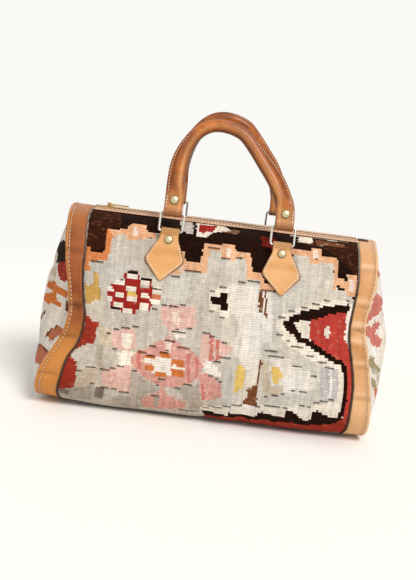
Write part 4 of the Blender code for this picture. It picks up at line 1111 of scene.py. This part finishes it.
def bed_at(down):
    """The point and outward direction of the chape's bed, as (y, z), at a distance below the ring's foot."""
    a, b = (np.array([np.interp(down + d, BED_LONG, BED[:, i]) for i in (0, 1)]) for d in (-2.5 * MM, 2.5 * MM))
    run = (b - a) / np.linalg.norm(b - a)
    return np.array([np.interp(down, BED_LONG, BED[:, i]) for i in (0, 1)]), np.array([-run[1], run[0]])


def ease1(x, a, b):
    return float(ease(x, a, b))


FOOT, FOOT_OUT = bed_at(0.0)
LOOP = FOOT + FOOT_OUT * EYE_LIFT
# Lean of ring and handle from upright, inward: the front handle leans in, the rear one stands behind it.
LEAN = {-1: math.asin((LOOP[0] - APEX_FROM_MIDDLE) / (RING_TALL + HANDLE_RISE)), 1: REAR_LEAN}


def front_layer(down):
    """Height of the middle of the chape's outer layer over its bed."""
    tail = SEW_GAP + CHAPE_THICK + 0.35 * MM + CHAPE_THICK / 2
    near = EYE_LIFT + EYE + CHAPE_THICK / 2
    height = near + (tail - near) * ease1(down, 0.8 * MM, 4.6 * MM)
    return height + (SEW_GAP + CHAPE_THICK / 2 - tail) * ease1(down, CHAPE_TAIL + 0.5 * MM, CHAPE_TAIL + 9 * MM)


def chape_half(down):
    """Half the chape's width at a distance below the ring."""
    marks = [0, 6, 10, 15, 20, 25, 28.5, 30.5, 33, 38, 44, 48.5, 50.4, 51]
    halves = [9.6, 9.6, 10.6, 13.2, 15.7, 18.2, 19.6, 19.9, 18.9, 14.2, 8.2, 3.9, 1.7, 0.5]
    return float(np.interp(down / MM, marks, halves)) * MM


def make_chape(side, x, name, leather, edge, thread):
    t = CHAPE_THICK / 2
    section = [(1, -0.25), (1, 0.25), (0.97, 0.72), (0.90, 0.97), (0.80, 1), (0.4, 1), (-0.4, 1), (-0.80, 1),
               (-0.90, 0.97), (-0.97, 0.72), (-1, 0.25), (-1, -0.25), (-0.97, -0.72), (-0.90, -0.97), (-0.4, -1),
               (0.4, -1), (0.90, -0.97), (0.97, -0.72)]
    splay, middle = math.copysign(CHAPE_SPLAY, x), []
    for d in np.linspace(CHAPE_TAIL, 1 * MM, 7):
        foot, out = bed_at(d)
        middle.append((foot + out * (SEW_GAP + t), 9.3 * MM, out, d))
    run = np.array([-FOOT_OUT[1], FOOT_OUT[0]])
    for a in np.linspace(0, math.pi, 15):
        away = -FOOT_OUT * math.cos(a) + run * math.sin(a)
        middle.append((LOOP + away * (EYE + t), 9.6 * MM, away, 0.0))
    downs = np.concatenate([np.arange(0.8, 5, 1.1), np.arange(6, 50.2, 1.7), [50.6, 51]]) * MM
    for d in downs:
        foot, out = bed_at(d)
        middle.append((foot + out * front_layer(d), chape_half(d), out, d))
    line = np.array([m[0] for m in middle])
    run = np.gradient(line, axis=0)
    run /= np.linalg.norm(run, axis=1, keepdims=True)
    rows = []
    for i, (place, half, out, d) in enumerate(middle):
        away = np.array([run[i][1], -run[i][0]])
        if i >= 7:
            away *= 1 if np.dot(away, out) > 0 else -1
        else:
            away *= -1 if np.dot(away, out) > 0 else 1
        row = []
        for a, b in section:
            point = place + away * b * t
            row.append((x + splay * d + a * half, side * point[0], point[1]))
        rows.append(row)
    obj = loft("chape_leather_" + name, rows, [leather, edge], turn=side > 0)
    count = len(section)
    for polygon in obj.data.polygons:
        ends = section[polygon.index % count], section[(polygon.index + 1) % count]
        if polygon.index < (len(rows) - 1) * count and max(abs(a) for a, b in ends) == 1:
            polygon.material_index = 1
    # Darker along the dyed cut edges, with painted shade beside them, and darker where the leather folds round the
    # ring.
    grime_and_shade = {1: 0.9, 0.97: 0.6, 0.90: 0.22}
    fold = 0.5 * np.exp(-(np.array([m[3] for m in middle]) / (2.5 * MM)) ** 2)
    edge_dye_and_shade = [grime_and_shade.get(abs(a), 0) for a, b in section]
    point_values(obj.data, "grime_and_shade", np.maximum(np.array(edge_dye_and_shade)[None, :], fold[:, None]).ravel())
    carry(obj, "bag", "tan_leather", "chape_" + name)
    parts = []
    for hand in (-1, 1):
        places, outs = [], []
        for d in np.linspace(13.5 * MM, 47.6 * MM, 60):
            foot, out = bed_at(d)
            place = foot + out * (front_layer(d) + t)
            inset = chape_half(d) - 2.1 * MM / (1 if d < 29 * MM else 0.72)
            places.append((x + splay * d + hand * max(0.3 * MM, inset), side * place[0], place[1]))
            outs.append((0, side * out[0], out[1]))
        parts.append(stitches(places, outs, 3.3 * MM, 2.3 * MM, 1.0 * MM))
    points, faces = joined(parts)
    carry(mesh_object("chape_stitches_" + name, points, faces, thread), "bag", "tan_leather")


# ---- rings, rivets and handles ----

def plane_point(side, x, up, out):
    """A point in the plane of a ring and its handle: x along the bag, up the lean from the ring's bar, outward."""
    a = LEAN[side]
    return (x, side * (LOOP[0] - up * math.sin(a) + out * math.cos(a)), LOOP[1] + up * math.cos(a) + out * math.sin(a))


def make_ring(side, x, body, name, mat):
    """A rectangular ring bent from round wire, its brazed joint hidden in the leather."""
    w, h, r = RING_WIDE / 2, RING_TALL, RING_CORNER
    loop = []
    for cx, cy, a in ((w - r, r, -90), (w - r, h - r, 0), (r - w, h - r, 90), (r - w, r, 180)):
        loop += [(cx + r * math.cos(math.radians(a + 15 * k)), cy + r * math.sin(math.radians(a + 15 * k)))
                 for k in range(7)]
    points, faces = tube([plane_point(side, x + a, b, 0) for a, b in loop], RING_WIRE / 2, 16)
    return carry(mesh_object("wire_ring_" + name, points, faces, mat), body, "nickel", "ring_" + name)


def make_rivet(middle, axis, outer, inner, body, node, mat):
    """A domed tubular rivet: a pressed cap outside, its shank, and a rolled hollow back."""
    top, low = outer + RIVET_GAP, inner - 2 * RIVET_GAP
    head, shank, back = RIVET_HEAD / 2, RIVET_SHANK / 2, RIVET_BACK / 2
    dome = [(head * math.sin(a), top + RIVET_DOME * math.cos(a) ** 0.85) for a in np.linspace(0, math.pi / 2 - 0.12, 9)]
    profile = [(0, dome[0][1]), *dome[1:], (head * 1.0, top + 0.25 * MM), (head * 0.97, top), (shank, top), (shank, low),
               (back * 0.93, low), (back, low - 0.3 * MM), (back * 0.9, low - 0.7 * MM), (shank * 0.95, low - 0.95 * MM),
               (shank * 0.62, low - 0.5 * MM), (shank * 0.55, low + 0.6 * MM), (0, low + 0.7 * MM)]
    points, faces = turned_body(profile, middle, axis, 32)
    obj = mesh_object(node + "_cap", points, faces, mat)
    grime_and_shade = np.clip([(r / head - 0.8) / 0.2 for r, z in profile], 0, 1)
    point_values(obj.data, "grime_and_shade", [grime_and_shade[0], *np.repeat(grime_and_shade[1:-1], 32), grime_and_shade[-1]])
    return carry(obj, body, "rivet", node)


def handle_line(side, steps):
    """Middle line of a handle in its plane: (x, height over the ring's upper bar), left foot to right foot."""
    shape = [(-1.0, 0.03), (-1.0, 0.09), (-1.003, 0.2), (-1.014, 0.364), (-0.998, 0.525), (-0.942, 0.682),
             (-0.825, 0.833), (-0.702, 0.919), (-0.54, 0.978), (-0.356, 1.0), (-0.167, 0.992), (0.009, 0.962),
             (0.158, 0.911), (0.35, 0.788), (0.556, 0.631), (0.72, 0.505), (0.868, 0.364), (0.972, 0.22),
             (1.0, 0.09), (1.0, 0.03)]
    line = curved([(HANDLE_SPACING / 2 * a, HANDLE_RISE * b) for a, b in shape], steps)
    if side > 0:
        line[:, 0] += REAR_SHIFT * ease(np.clip(line[:, 1] / HANDLE_RISE, 0, 1), 0.2, 1.0)
    return line


def tab_outline():
    w, t = TAB_WIDE / 2, STRAP / 2
    upper = [(w, 0.55 * t), (0.965 * w, 0.97 * t), (0.80 * w, t), (0.5 * w, t), (0.2 * w, t), (-0.1 * w, t),
             (-0.35 * w, t), (-0.6 * w, t), (-0.82 * w, t), (-0.965 * w, 0.97 * t), (-w, 0.55 * t)]
    return [(w * 1.005, 0), *upper, (-w * 1.005, 0), *[(n, -b) for n, b in reversed(upper)]]


def roll_outline():
    r, f = HANDLE_ROLL / 2, FLANGE_THICK / 2
    edge = r + FLANGE_OUT / 2
    middle = edge - FLANGE_OUT - r
    angles = [math.radians(a) for a in (30, 46, 64, 84, 104, 124, 143, 162)]
    upper = [(edge, 0.6 * f), (edge - 0.4 * MM, 0.98 * f), (middle + r * 0.985, f)]
    upper += [(middle + r * math.cos(a), r * math.sin(a)) for a in angles]
    return [(edge, 0), *upper, (middle - r, 0), *[(n, -b) for n, b in reversed(upper)]]


def flange_tuck(up):
    """How far the flange is drawn in at a height over the ring's upper bar: it runs out towards the grip."""
    return FLANGE_TUCK * ease1(up, 0.45 * HANDLE_RISE, 0.92 * HANDLE_RISE)


def handle_rows(side):
    """Rings of (x, up, out) from the ring's lower bar, from one hidden tail over the arch to the other, and for
    each point of the middle line its place and its outward direction."""
    eye, apart = EYE + STRAP / 2, STRAP / 2 + 0.15 * MM
    tab, roll = tab_outline(), roll_outline()
    line = handle_line(side, 7)

    def fold(x, across):
        leg = line[:28] if across < 0 else line[:-29:-1]
        rows = [[(float(np.interp(up, leg[:, 1], leg[:, 0])) + across * n, up, -b - apart) for n, b in tab]
                for up in (HANDLE_TAIL, HANDLE_TAIL - 0.5 * MM, HANDLE_TAIL * 0.6, 8 * MM)]
        rows.append([(x + across * n, 4 * MM, -b - (apart + eye) / 2) for n, b in tab])
        for a in np.linspace(0, math.pi, 13):
            rows.append([(x + across * n, -(eye + b) * math.sin(a), -(eye + b) * math.cos(a)) for n, b in tab])
        return rows

    rows, crown = fold(line[0][0], -1), []
    for i in range(1, len(line) - 1):
        up = line[i][1]
        if up < 4 * MM:
            continue
        run = line[i + 1] - line[i - 1]
        run /= np.linalg.norm(run)
        outward = np.array([-run[1], run[0]])
        straight = 1 - ease1(up, 7 * MM, 13 * MM)
        outward = outward * (1 - straight) + np.array([-1.0 if i < len(line) / 2 else 1.0, 0.0]) * straight
        shift = apart + (eye - apart) * (1 - ease1(up, 0.0, 8 * MM))
        shift *= 1 - ease1(up, HANDLE_TAIL - 5 * MM, HANDLE_TAIL + 9 * MM)
        outer = ease1(up, HANDLE_RIVET_AT + 5 * MM, HANDLE_RIVET_AT + 17 * MM)
        inner = ease1(up, HANDLE_TAIL + 2 * MM, HANDLE_TAIL + 20 * MM)
        tuck = flange_tuck(up)
        row = []
        for (tn, tb), (rn, rb) in zip(tab, roll):
            rn -= tuck if rn > HANDLE_ROLL / 2 else 0.0
            w = (outer + inner) / 2 if tb == 0 else outer if tb > 0 else inner
            n, b = tn + (rn - tn) * w, tb + (rb - tb) * w
            row.append((line[i][0] + outward[0] * n, up + outward[1] * n, b + shift))
        rows.append(row)
        crown.append((line[i][0], up, outward, shift, outer))
    rows += list(reversed(fold(line[-1][0], 1)))
    return [[(a, b + RING_TALL, c) for a, b, c in row] for row in rows], crown


def make_handle(side, name, body, leather, edge, thread, seam_thread):
    rows, crown = handle_rows(side)
    rings = [[plane_point(side, *p) for p in row] for row in rows]
    obj = loft("handle_leather_" + name, rings, [leather, edge], turn=side > 0)
    count = len(rings[0])
    for polygon in obj.data.polygons:
        if polygon.index < (len(rings) - 1) * count and polygon.index % count in (0, count - 1):
            polygon.material_index = 1
    half = count // 2
    rub, grime_and_shade = [], []
    for row in rows:
        up = row[0][1] - RING_TALL
        grip, fold = ease1(up, 30 * MM, 80 * MM), 0.55 * (1 - ease1(up, -1 * MM, 6 * MM))
        # Painted highlight: a pale streak along the roll where the light catches it, fainter towards the grip. Also
        # lighter near the feet.
        crest = [0.0, 0.05, 0.1, 0.0, 0.05, 0.05, 0.1, 0.35, 0.9, 0.55, 0.1, 0.05]
        foot = 0.4 * (1 - ease1(up, 14 * MM, 27 * MM))
        rub += [0.0, *[max(foot, c * (0.75 - 0.35 * grip)) for c in crest[1:]]] + [0.0] * (count - len(crest))
        # Darker along the dyed edges, with painted shade on the side turned from the light. Also darker where the
        # leather folds round the ring.
        edge_dye_and_shade = [0.9, 0.6, 0.25, 0.35, 0.15] + [0.0] * (half - 8) + [0.15, 0.35, 0.6, 0.8]
        edge_dye_and_shade += [0.6, 0.35, 0.15] + [0.1] * (count - half - 8) + [0.25, 0.35, 0.25, 0.6]
        grime_and_shade += [max(fold, g) for g in edge_dye_and_shade]
    point_values(obj.data, "rub", rub)
    point_values(obj.data, "grime_and_shade", grime_and_shade)
    carry(obj, body, "handle_leather", "handle_" + name)
    parts = []
    for face in (1, -1):
        places, outs = [], []
        for x, up, outward, shift, blend in crown:
            if up < 21 * MM:
                continue
            edge_out = HANDLE_ROLL / 2 + FLANGE_OUT / 2 - 2.0 * MM - flange_tuck(up)
            b = face * (FLANGE_THICK / 2 + 0.15 * flange_tuck(up)) + shift
            places.append(plane_point(side, x + outward[0] * edge_out, up + RING_TALL + outward[1] * edge_out, b))
            outs.append(np.subtract(plane_point(side, 0, 0, face), plane_point(side, 0, 0, 0)))
        parts.append(stitches(places, outs, 3.3 * MM, 2.3 * MM, 0.85 * MM))
    points, faces = joined(parts)
    carry(mesh_object("handle_seam_" + name, points, faces, seam_thread), body, "handle_leather")
    parts = []
    for foot in (-1, 1):
        x = foot * HANDLE_SPACING / 2
        places, outs = [], []
        for up in np.linspace(4.5 * MM, 20 * MM, 12):
            shift = STRAP / 2 + 0.15 * MM + (EYE - 0.15 * MM) * (1 - ease1(up, 0.0, 8 * MM)) + STRAP / 2
            places.append(plane_point(side, x + foot * (TAB_WIDE / 2 - 2 * MM), up + RING_TALL, shift))
            outs.append(np.subtract(plane_point(side, 0, 0, 1), plane_point(side, 0, 0, 0)))
        parts.append(stitches(places, outs, 3.3 * MM, 2.3 * MM, 0.85 * MM))
    points, faces = joined(parts)
    carry(mesh_object("handle_tab_stitches_" + name, points, faces, thread), body, "handle_leather")


# ---- settings, one operator for each piece or group of like pieces, and their panel ----

def size(name, description, default):
    return bpy.props.FloatProperty(name=name, description=description, default=default, unit="LENGTH", precision=5)


def tint(name, description, default):
    return bpy.props.FloatVectorProperty(name=name, description=description, default=linear(default), subtype="COLOR",
                                         size=3, min=0, max=1)


class BAG_PG_cloth(bpy.types.PropertyGroup):
    """Sizes of the weave."""
    rib: size("Rib", "Distance from one rib of the cloth to the next", 2.5 * MM)
    rise: size("Rib rise", "How far a rib stands out of the cloth", 0.16 * MM)
    abrash: bpy.props.FloatProperty(name="Abrash", description="How far one batch of yarn differs from the next",
                                    default=0.10, min=0, max=0.5, subtype="FACTOR")
    welt: tint("Welt", "Raw wool along the bands", "43342A")


class BAG_PG_leather(bpy.types.PropertyGroup):
    """Leathers and their thread."""
    # Painted light: both bands are one leather. The left band's colours are a darker copy for shade and the right
    # band's a lighter copy for light.
    band: tint("Left band", "Leather of the left band, painted darker as shade", "A3531C")
    band_deep: tint("Left band, dark", "The same in its creases", "83400F")
    band_worn_and_lit: tint("Left band, worn and lit", "The same where it is rubbed and in the light", "D38A3F")
    band_lit_copy: tint("Right band", "Leather of the right band, painted lighter as lit", "D49A62")
    band_lit_copy_deep: tint("Right band, dark", "The same in its creases", "C58449")
    band_lit_copy_worn_and_glints: tint("Right band, worn and lit", "The same where it is rubbed", "F6CB9C")
    tan: tint("Tan", "Leather of the loops", "E3AB6F")
    tan_deep: tint("Tan, dark", "The same in its creases", "DA9E60")
    tan_worn: tint("Tan, worn", "The same where it is rubbed", "F0C594")
    strip: tint("Zip strip", "Leather beside the zip, rubbed pinkish", "CF9468")
    strip_deep: tint("Zip strip, dark", "The same in its creases", "AE6D42")
    strip_worn: tint("Zip strip, worn", "The same along its edges", "E9C6A4")
    handle: tint("Handle", "Leather of the handles", "C0640F")
    handle_deep: tint("Handle, dark", "The same in its creases", "7E3B08")
    # This colour serves both the painted highlight along the roll and the worn places.
    handle_worn_and_highlight: tint("Handle, worn and highlight", "The same where hands have rubbed it", "E6A765")
    edge: tint("Edge", "Dyed cut edges", "3A1D10")
    thread: tint("Thread", "Linen thread", "F4ECDD")
    stained_thread: tint("Stained thread", "Linen thread that has taken the leather's colour", "EBD0AB")
    stitch_pitch: size("Stitch", "Distance from one stitch of a band to the next", 4.2 * MM)
    band_stitch_in: size("Stitch line", "Distance of the stitches from the inner edge of a band", 19.6 * MM)


class BAG_PG_metal(bpy.types.PropertyGroup):
    """Zip and fittings."""
    tooth_pitch: size("Tooth", "Distance from one tooth of a row to the next", 2.5 * MM)
    tape: tint("Tape", "Cotton tape of the zip", "4A2E20")
    teeth: tint("Teeth", "Teeth of the zip", "A98C5B")
    brass: tint("Brass", "Slider and pull of the zip", "C9A45C")
    nickel: tint("Nickel", "Wire rings", "D6D2C8")
    rivet: tint("Rivet", "Rivet caps", "CDC09A")


class BAG_PG_stage(bpy.types.PropertyGroup):
    """Light and floor."""
    floor: tint("Floor", "Floor round the bag", "F6F4F0")
    backdrop: tint("Backdrop", "What the camera sees behind the bag", "FAF9F6")
    key: bpy.props.FloatProperty(name="Key", description="Strength of the window light", default=2.1, min=0)
    fill: bpy.props.FloatProperty(name="Fill", description="Strength of the light all round", default=0.62, min=0)


class BAG_OT_cloth(bpy.types.Operator):
    """Weaves the kilim body and its two bulging ends"""
    bl_idname = "bag.cloth"
    bl_label = "Kilim body and ends"

    def execute(self, context):
        cloth = context.scene.bag_cloth
        make_body(cloth)
        make_gusset(cloth, -1, "left")
        make_gusset(cloth, 1, "right")
        return {"FINISHED"}


class BAG_OT_bands(bpy.types.Operator):
    """Sews the leather bands round the ends, with their welts"""
    bl_idname = "bag.bands"
    bl_label = "End bands and welts"

    def execute(self, context):
        leathers = context.scene.bag_leather
        # One band leather in two painted copies: a shaded one for the left band and a lit one for the right band.
        hides = [cowhide("bark-tanned band leather", leathers.band, leathers.band_deep, leathers.band_worn_and_lit, 0.42, 0.4),
                 cowhide("bark-tanned band leather, faded", leathers.band_lit_copy, leathers.band_lit_copy_deep,
                         leathers.band_lit_copy_worn_and_glints, 0.40, 0.4)]
        stained = shared(STAINED, linen_thread, STAINED, leathers.stained_thread)
        wool = raw_wool(context.scene.bag_cloth.welt)
        for side, name, hide in ((-1, "left", hides[0]), (1, "right", hides[1])):
            make_band(hide, side, name)
            make_band_stitches(leathers, side, name, stained)
            make_welt(side, name, wool)
        return {"FINISHED"}


class BAG_OT_zip(bpy.types.Operator):
    """Lays the zip: strips, tapes, teeth, slider and pull"""
    bl_idname = "bag.zip"
    bl_label = "Zip"

    def execute(self, context):
        leathers, metals = context.scene.bag_leather, context.scene.bag_metal
        hide = cowhide("rubbed strip leather", leathers.strip, leathers.strip_deep, leathers.strip_worn, 0.5, 0.6)
        edge = shared("burnished leather edge", cut_edge, leathers.edge)
        thread = shared("waxed linen thread", linen_thread, "waxed linen thread", leathers.thread)
        teeth = metal("stamped brass teeth", metals.teeth, 0.35, linear("4A3A22"))
        brass = metal("cast brass slider", metals.brass, 0.27, linear("7A5A2C"))
        tape = cotton_tape(metals.tape)
        for side, name in ((-1, "front"), (1, "rear")):
            make_strip(side, name, hide, edge)
            make_strip_stitches(side, name, thread, 3.4 * MM)
            make_teeth(side, name, metals.tooth_pitch, teeth)
            soften_edges("zip_tape_" + name, tape, 0.15 * MM)
        soften_edges("zip_tape_end", tape, 0.2 * MM)
        soften_edges("zip_slider", brass, 0.25 * MM)
        soften_edges("zip_pull", brass, 0.2 * MM)
        return {"FINISHED"}


class BAG_OT_chapes(bpy.types.Operator):
    """Sews the four tan loops; their rivets are set with the rings"""
    bl_idname = "bag.chapes"
    bl_label = "Leather loops"

    def execute(self, context):
        leathers = context.scene.bag_leather
        tan = cowhide("waxed tan leather", leathers.tan, leathers.tan_deep, leathers.tan_worn, 0.45, 0.2)
        thread = shared("waxed linen thread", linen_thread, "waxed linen thread", leathers.thread)
        edge = shared("burnished leather edge", cut_edge, leathers.edge)
        for side, row in ((-1, "front"), (1, "rear")):
            for x, hand in ((-HANDLE_SPACING / 2, "left"), (HANDLE_SPACING / 2, "right")):
                make_chape(side, x, f"{row}_{hand}", tan, edge, thread)
        return {"FINISHED"}


class BAG_OT_fittings(bpy.types.Operator):
    """Bends the four rings and sets the eight rivets"""
    bl_idname = "bag.fittings"
    bl_label = "Rings and rivets"

    def execute(self, context):
        metals = context.scene.bag_metal
        nickel = metal("nickelled steel wire", metals.nickel, 0.24, linear("8D8578"))
        cap = metal("pressed rivet cap, worn plating", metals.rivet, 0.26, linear("83734F"))
        foot, out = bed_at(CHAPE_RIVET_AT)
        outer = front_layer(CHAPE_RIVET_AT) + CHAPE_THICK / 2
        grip = STRAP + 0.15 * MM
        for side, row in ((-1, "front"), (1, "rear")):
            for x, hand in ((-HANDLE_SPACING / 2, "left"), (HANDLE_SPACING / 2, "right")):
                make_ring(side, x, row + "_rings", f"{row}_{hand}", nickel)
                node = f"chape_{row}_{hand}_rivet"
                deep = rivet_reach(node, foot, out, side)
                splayed = x + math.copysign(CHAPE_SPLAY * CHAPE_RIVET_AT, x)
                make_rivet((splayed, side * foot[0], foot[1]), (0, side * out[0], out[1]), outer, deep, "bag", node, cap)
                middle = plane_point(side, x, RING_TALL + HANDLE_RIVET_AT, 0)
                axis = (0, side * math.cos(LEAN[side]), math.sin(LEAN[side]))
                make_rivet(middle, axis, grip, -grip, row + "_handle", f"handle_{row}_rivet_{hand}", cap)
        return {"FINISHED"}


def rivet_reach(node, foot, out, side):
    """The inner face that a loop's rivet grips, read from its CAD node."""
    points = [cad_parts[node].matrix_world @ v.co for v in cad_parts[node].data.vertices]
    deepest = min((p.y * side - foot[0]) * out[0] + (p.z - foot[1]) * out[1] for p in points)
    return deepest + 0.9 * MM + 2 * RIVET_GAP


class BAG_OT_handles(bpy.types.Operator):
    """Rolls and sews the two handles"""
    bl_idname = "bag.handles"
    bl_label = "Handles"

    def execute(self, context):
        leathers = context.scene.bag_leather
        hide = cowhide("rolled chestnut leather", leathers.handle, leathers.handle_deep, leathers.handle_worn_and_highlight, 0.34, 0.4,
                       coat=0.2)
        edge = shared("burnished leather edge", cut_edge, leathers.edge)
        thread = shared("waxed linen thread", linen_thread, "waxed linen thread", leathers.thread)
        stained = shared(STAINED, linen_thread, STAINED, leathers.stained_thread)
        for side, row in ((-1, "front"), (1, "rear")):
            make_handle(side, row, row + "_handle", hide, edge, thread, stained)
        return {"FINISHED"}


class BAG_OT_stage(bpy.types.Operator):
    """Sets the floor, the lights, the backdrop and the camera"""
    bl_idname = "bag.stage"
    bl_label = "Stage"

    def execute(self, context):
        make_stage(context.scene.bag_stage)
        return {"FINISHED"}


class BAG_PT_panel(bpy.types.Panel):
    """Lists the pieces in the order in which they are made"""
    bl_label = "Kilim Bag"
    bl_idname = "BAG_PT_panel"
    bl_space_type = "VIEW_3D"
    bl_region_type = "UI"
    bl_category = "Kilim Bag"

    def draw(self, context):
        for operator in OPERATORS:
            self.layout.operator(operator.bl_idname)
        for name, group in SETTINGS.items():
            box = self.layout.box()
            for value in group.__annotations__:
                box.prop(getattr(context.scene, name), value)


def make_stage(stage):
    scene = bpy.context.scene
    radius = 1.6
    rings = [(r, k) for r in np.linspace(0.02, radius, 14) for k in range(48)]
    points = [(r * math.cos(k * math.pi / 24), r * math.sin(k * math.pi / 24), 0) for r, k in rings]
    floor = mesh_object("floor", [*points, (0, 0, 0)], grid_faces(14, 48, True), paper_floor(stage))
    world = bpy.data.worlds.new("studio")
    scene.world = world
    world.use_nodes = True
    tree = world.node_tree
    back = tree.nodes["Background"]
    rays = add(tree, "LightPath")
    seen = add(tree, "Math", {"operation": "MAXIMUM"}, in0=rays.outputs["Is Camera Ray"],
               in1=rays.outputs["Is Transmission Ray"])
    seen = add(tree, "Math", {"operation": "MAXIMUM"}, in0=seen.outputs[0], in1=rays.outputs["Is Glossy Ray"])
    back.inputs["Color"].default_value = (1, 0.985, 0.965, 1)
    back.inputs["Strength"].default_value = stage.fill
    show = add(tree, "Background", Color=tuple(stage.backdrop), Strength=1.0)
    mix = add(tree, "MixShader", in0=seen.outputs[0], in1=back.outputs[0], in2=show.outputs[0])
    tree.links.new(mix.outputs[0], tree.nodes["World Output"].inputs["Surface"])
    lamp = bpy.data.lights.new("window", "SUN")
    lamp.energy, lamp.angle, lamp.color = stage.key, math.radians(24), (1, 0.98, 0.955)
    key = bpy.data.objects.new("window", lamp)
    key.rotation_euler = Vector((-0.42, 0.62, -0.95)).to_track_quat("-Z", "Y").to_euler()
    scene.collection.objects.link(key)
    lens = bpy.data.cameras.new("camera")
    lens.sensor_fit, lens.sensor_width, lens.lens = "AUTO", 36, 36 * 918 / 580
    lens.clip_start, lens.clip_end = 0.05, 20
    camera = bpy.data.objects.new("camera", lens)
    yaw, pitch, roll = (math.radians(a) for a in (-1.0, 12.1, 7.4))
    back_to = Vector((math.sin(yaw) * math.cos(pitch), -math.cos(yaw) * math.cos(pitch), math.sin(pitch)))
    right = Vector((math.cos(yaw), math.sin(yaw), 0))
    up = back_to.cross(right)
    across = right * math.cos(roll) + up * math.sin(roll)
    over = up * math.cos(roll) - right * math.sin(roll)
    place = Vector((-0.0106, 0, 0.1249)) + back_to
    camera.matrix_world = Matrix.Translation(place) @ Matrix((across, over, back_to)).transposed().to_4x4()
    scene.collection.objects.link(camera)
    scene.camera = camera
    scene.view_settings.view_transform = "Standard"


def paper_floor(stage):
    """Matt white paper: it takes the bag's soft shadow and fades into the backdrop further out."""
    made, tree, shader = new_material("matt white paper")
    place = add(tree, "TexCoord").outputs["Object"]
    away = add(tree, "VectorMath", {"operation": "LENGTH"}, in0=place)
    share = add(tree, "MapRange", {"interpolation_type": "SMOOTHSTEP"}, Value=away.outputs["Value"], From_Min=0.35,
                From_Max=1.0)
    grain = add(tree, "TexNoise", Vector=place, Scale=1 / (3 * MM), Detail=2.0)
    level = add(tree, "MapRange", Value=grain.outputs[0], To_Min=0.985, To_Max=1.0)
    base = add(tree, "VectorMath", {"operation": "SCALE"}, in0=tuple(stage.floor), Scale=level.outputs[0])
    tree.links.new(base.outputs[0], shader.inputs["Base Color"])
    shader.inputs["Roughness"].default_value = 0.9
    glow = add(tree, "Emission", Color=tuple(stage.backdrop), Strength=1.0)
    mix = add(tree, "MixShader", in0=share.outputs[0], in1=shader.outputs[0], in2=glow.outputs[0])
    tree.links.new(mix.outputs[0], tree.nodes["Material Output"].inputs["Surface"])
    return made


SETTINGS = {"bag_cloth": BAG_PG_cloth, "bag_leather": BAG_PG_leather, "bag_metal": BAG_PG_metal,
            "bag_stage": BAG_PG_stage}
OPERATORS = (BAG_OT_cloth, BAG_OT_bands, BAG_OT_zip, BAG_OT_chapes, BAG_OT_fittings, BAG_OT_handles, BAG_OT_stage)


def register():
    for cls in (*SETTINGS.values(), *OPERATORS, BAG_PT_panel):
        bpy.utils.register_class(cls)
    for name, group in SETTINGS.items():
        setattr(bpy.types.Scene, name, bpy.props.PointerProperty(type=group))


def unregister():
    for name in SETTINGS:
        delattr(bpy.types.Scene, name)
    for cls in reversed((*SETTINGS.values(), *OPERATORS, BAG_PT_panel)):
        bpy.utils.unregister_class(cls)


def main():
    register()
    for operator in OPERATORS:
        group, name = operator.bl_idname.split(".")
        getattr(getattr(bpy.ops, group), name)()


if __name__ == "__main__":
    main()
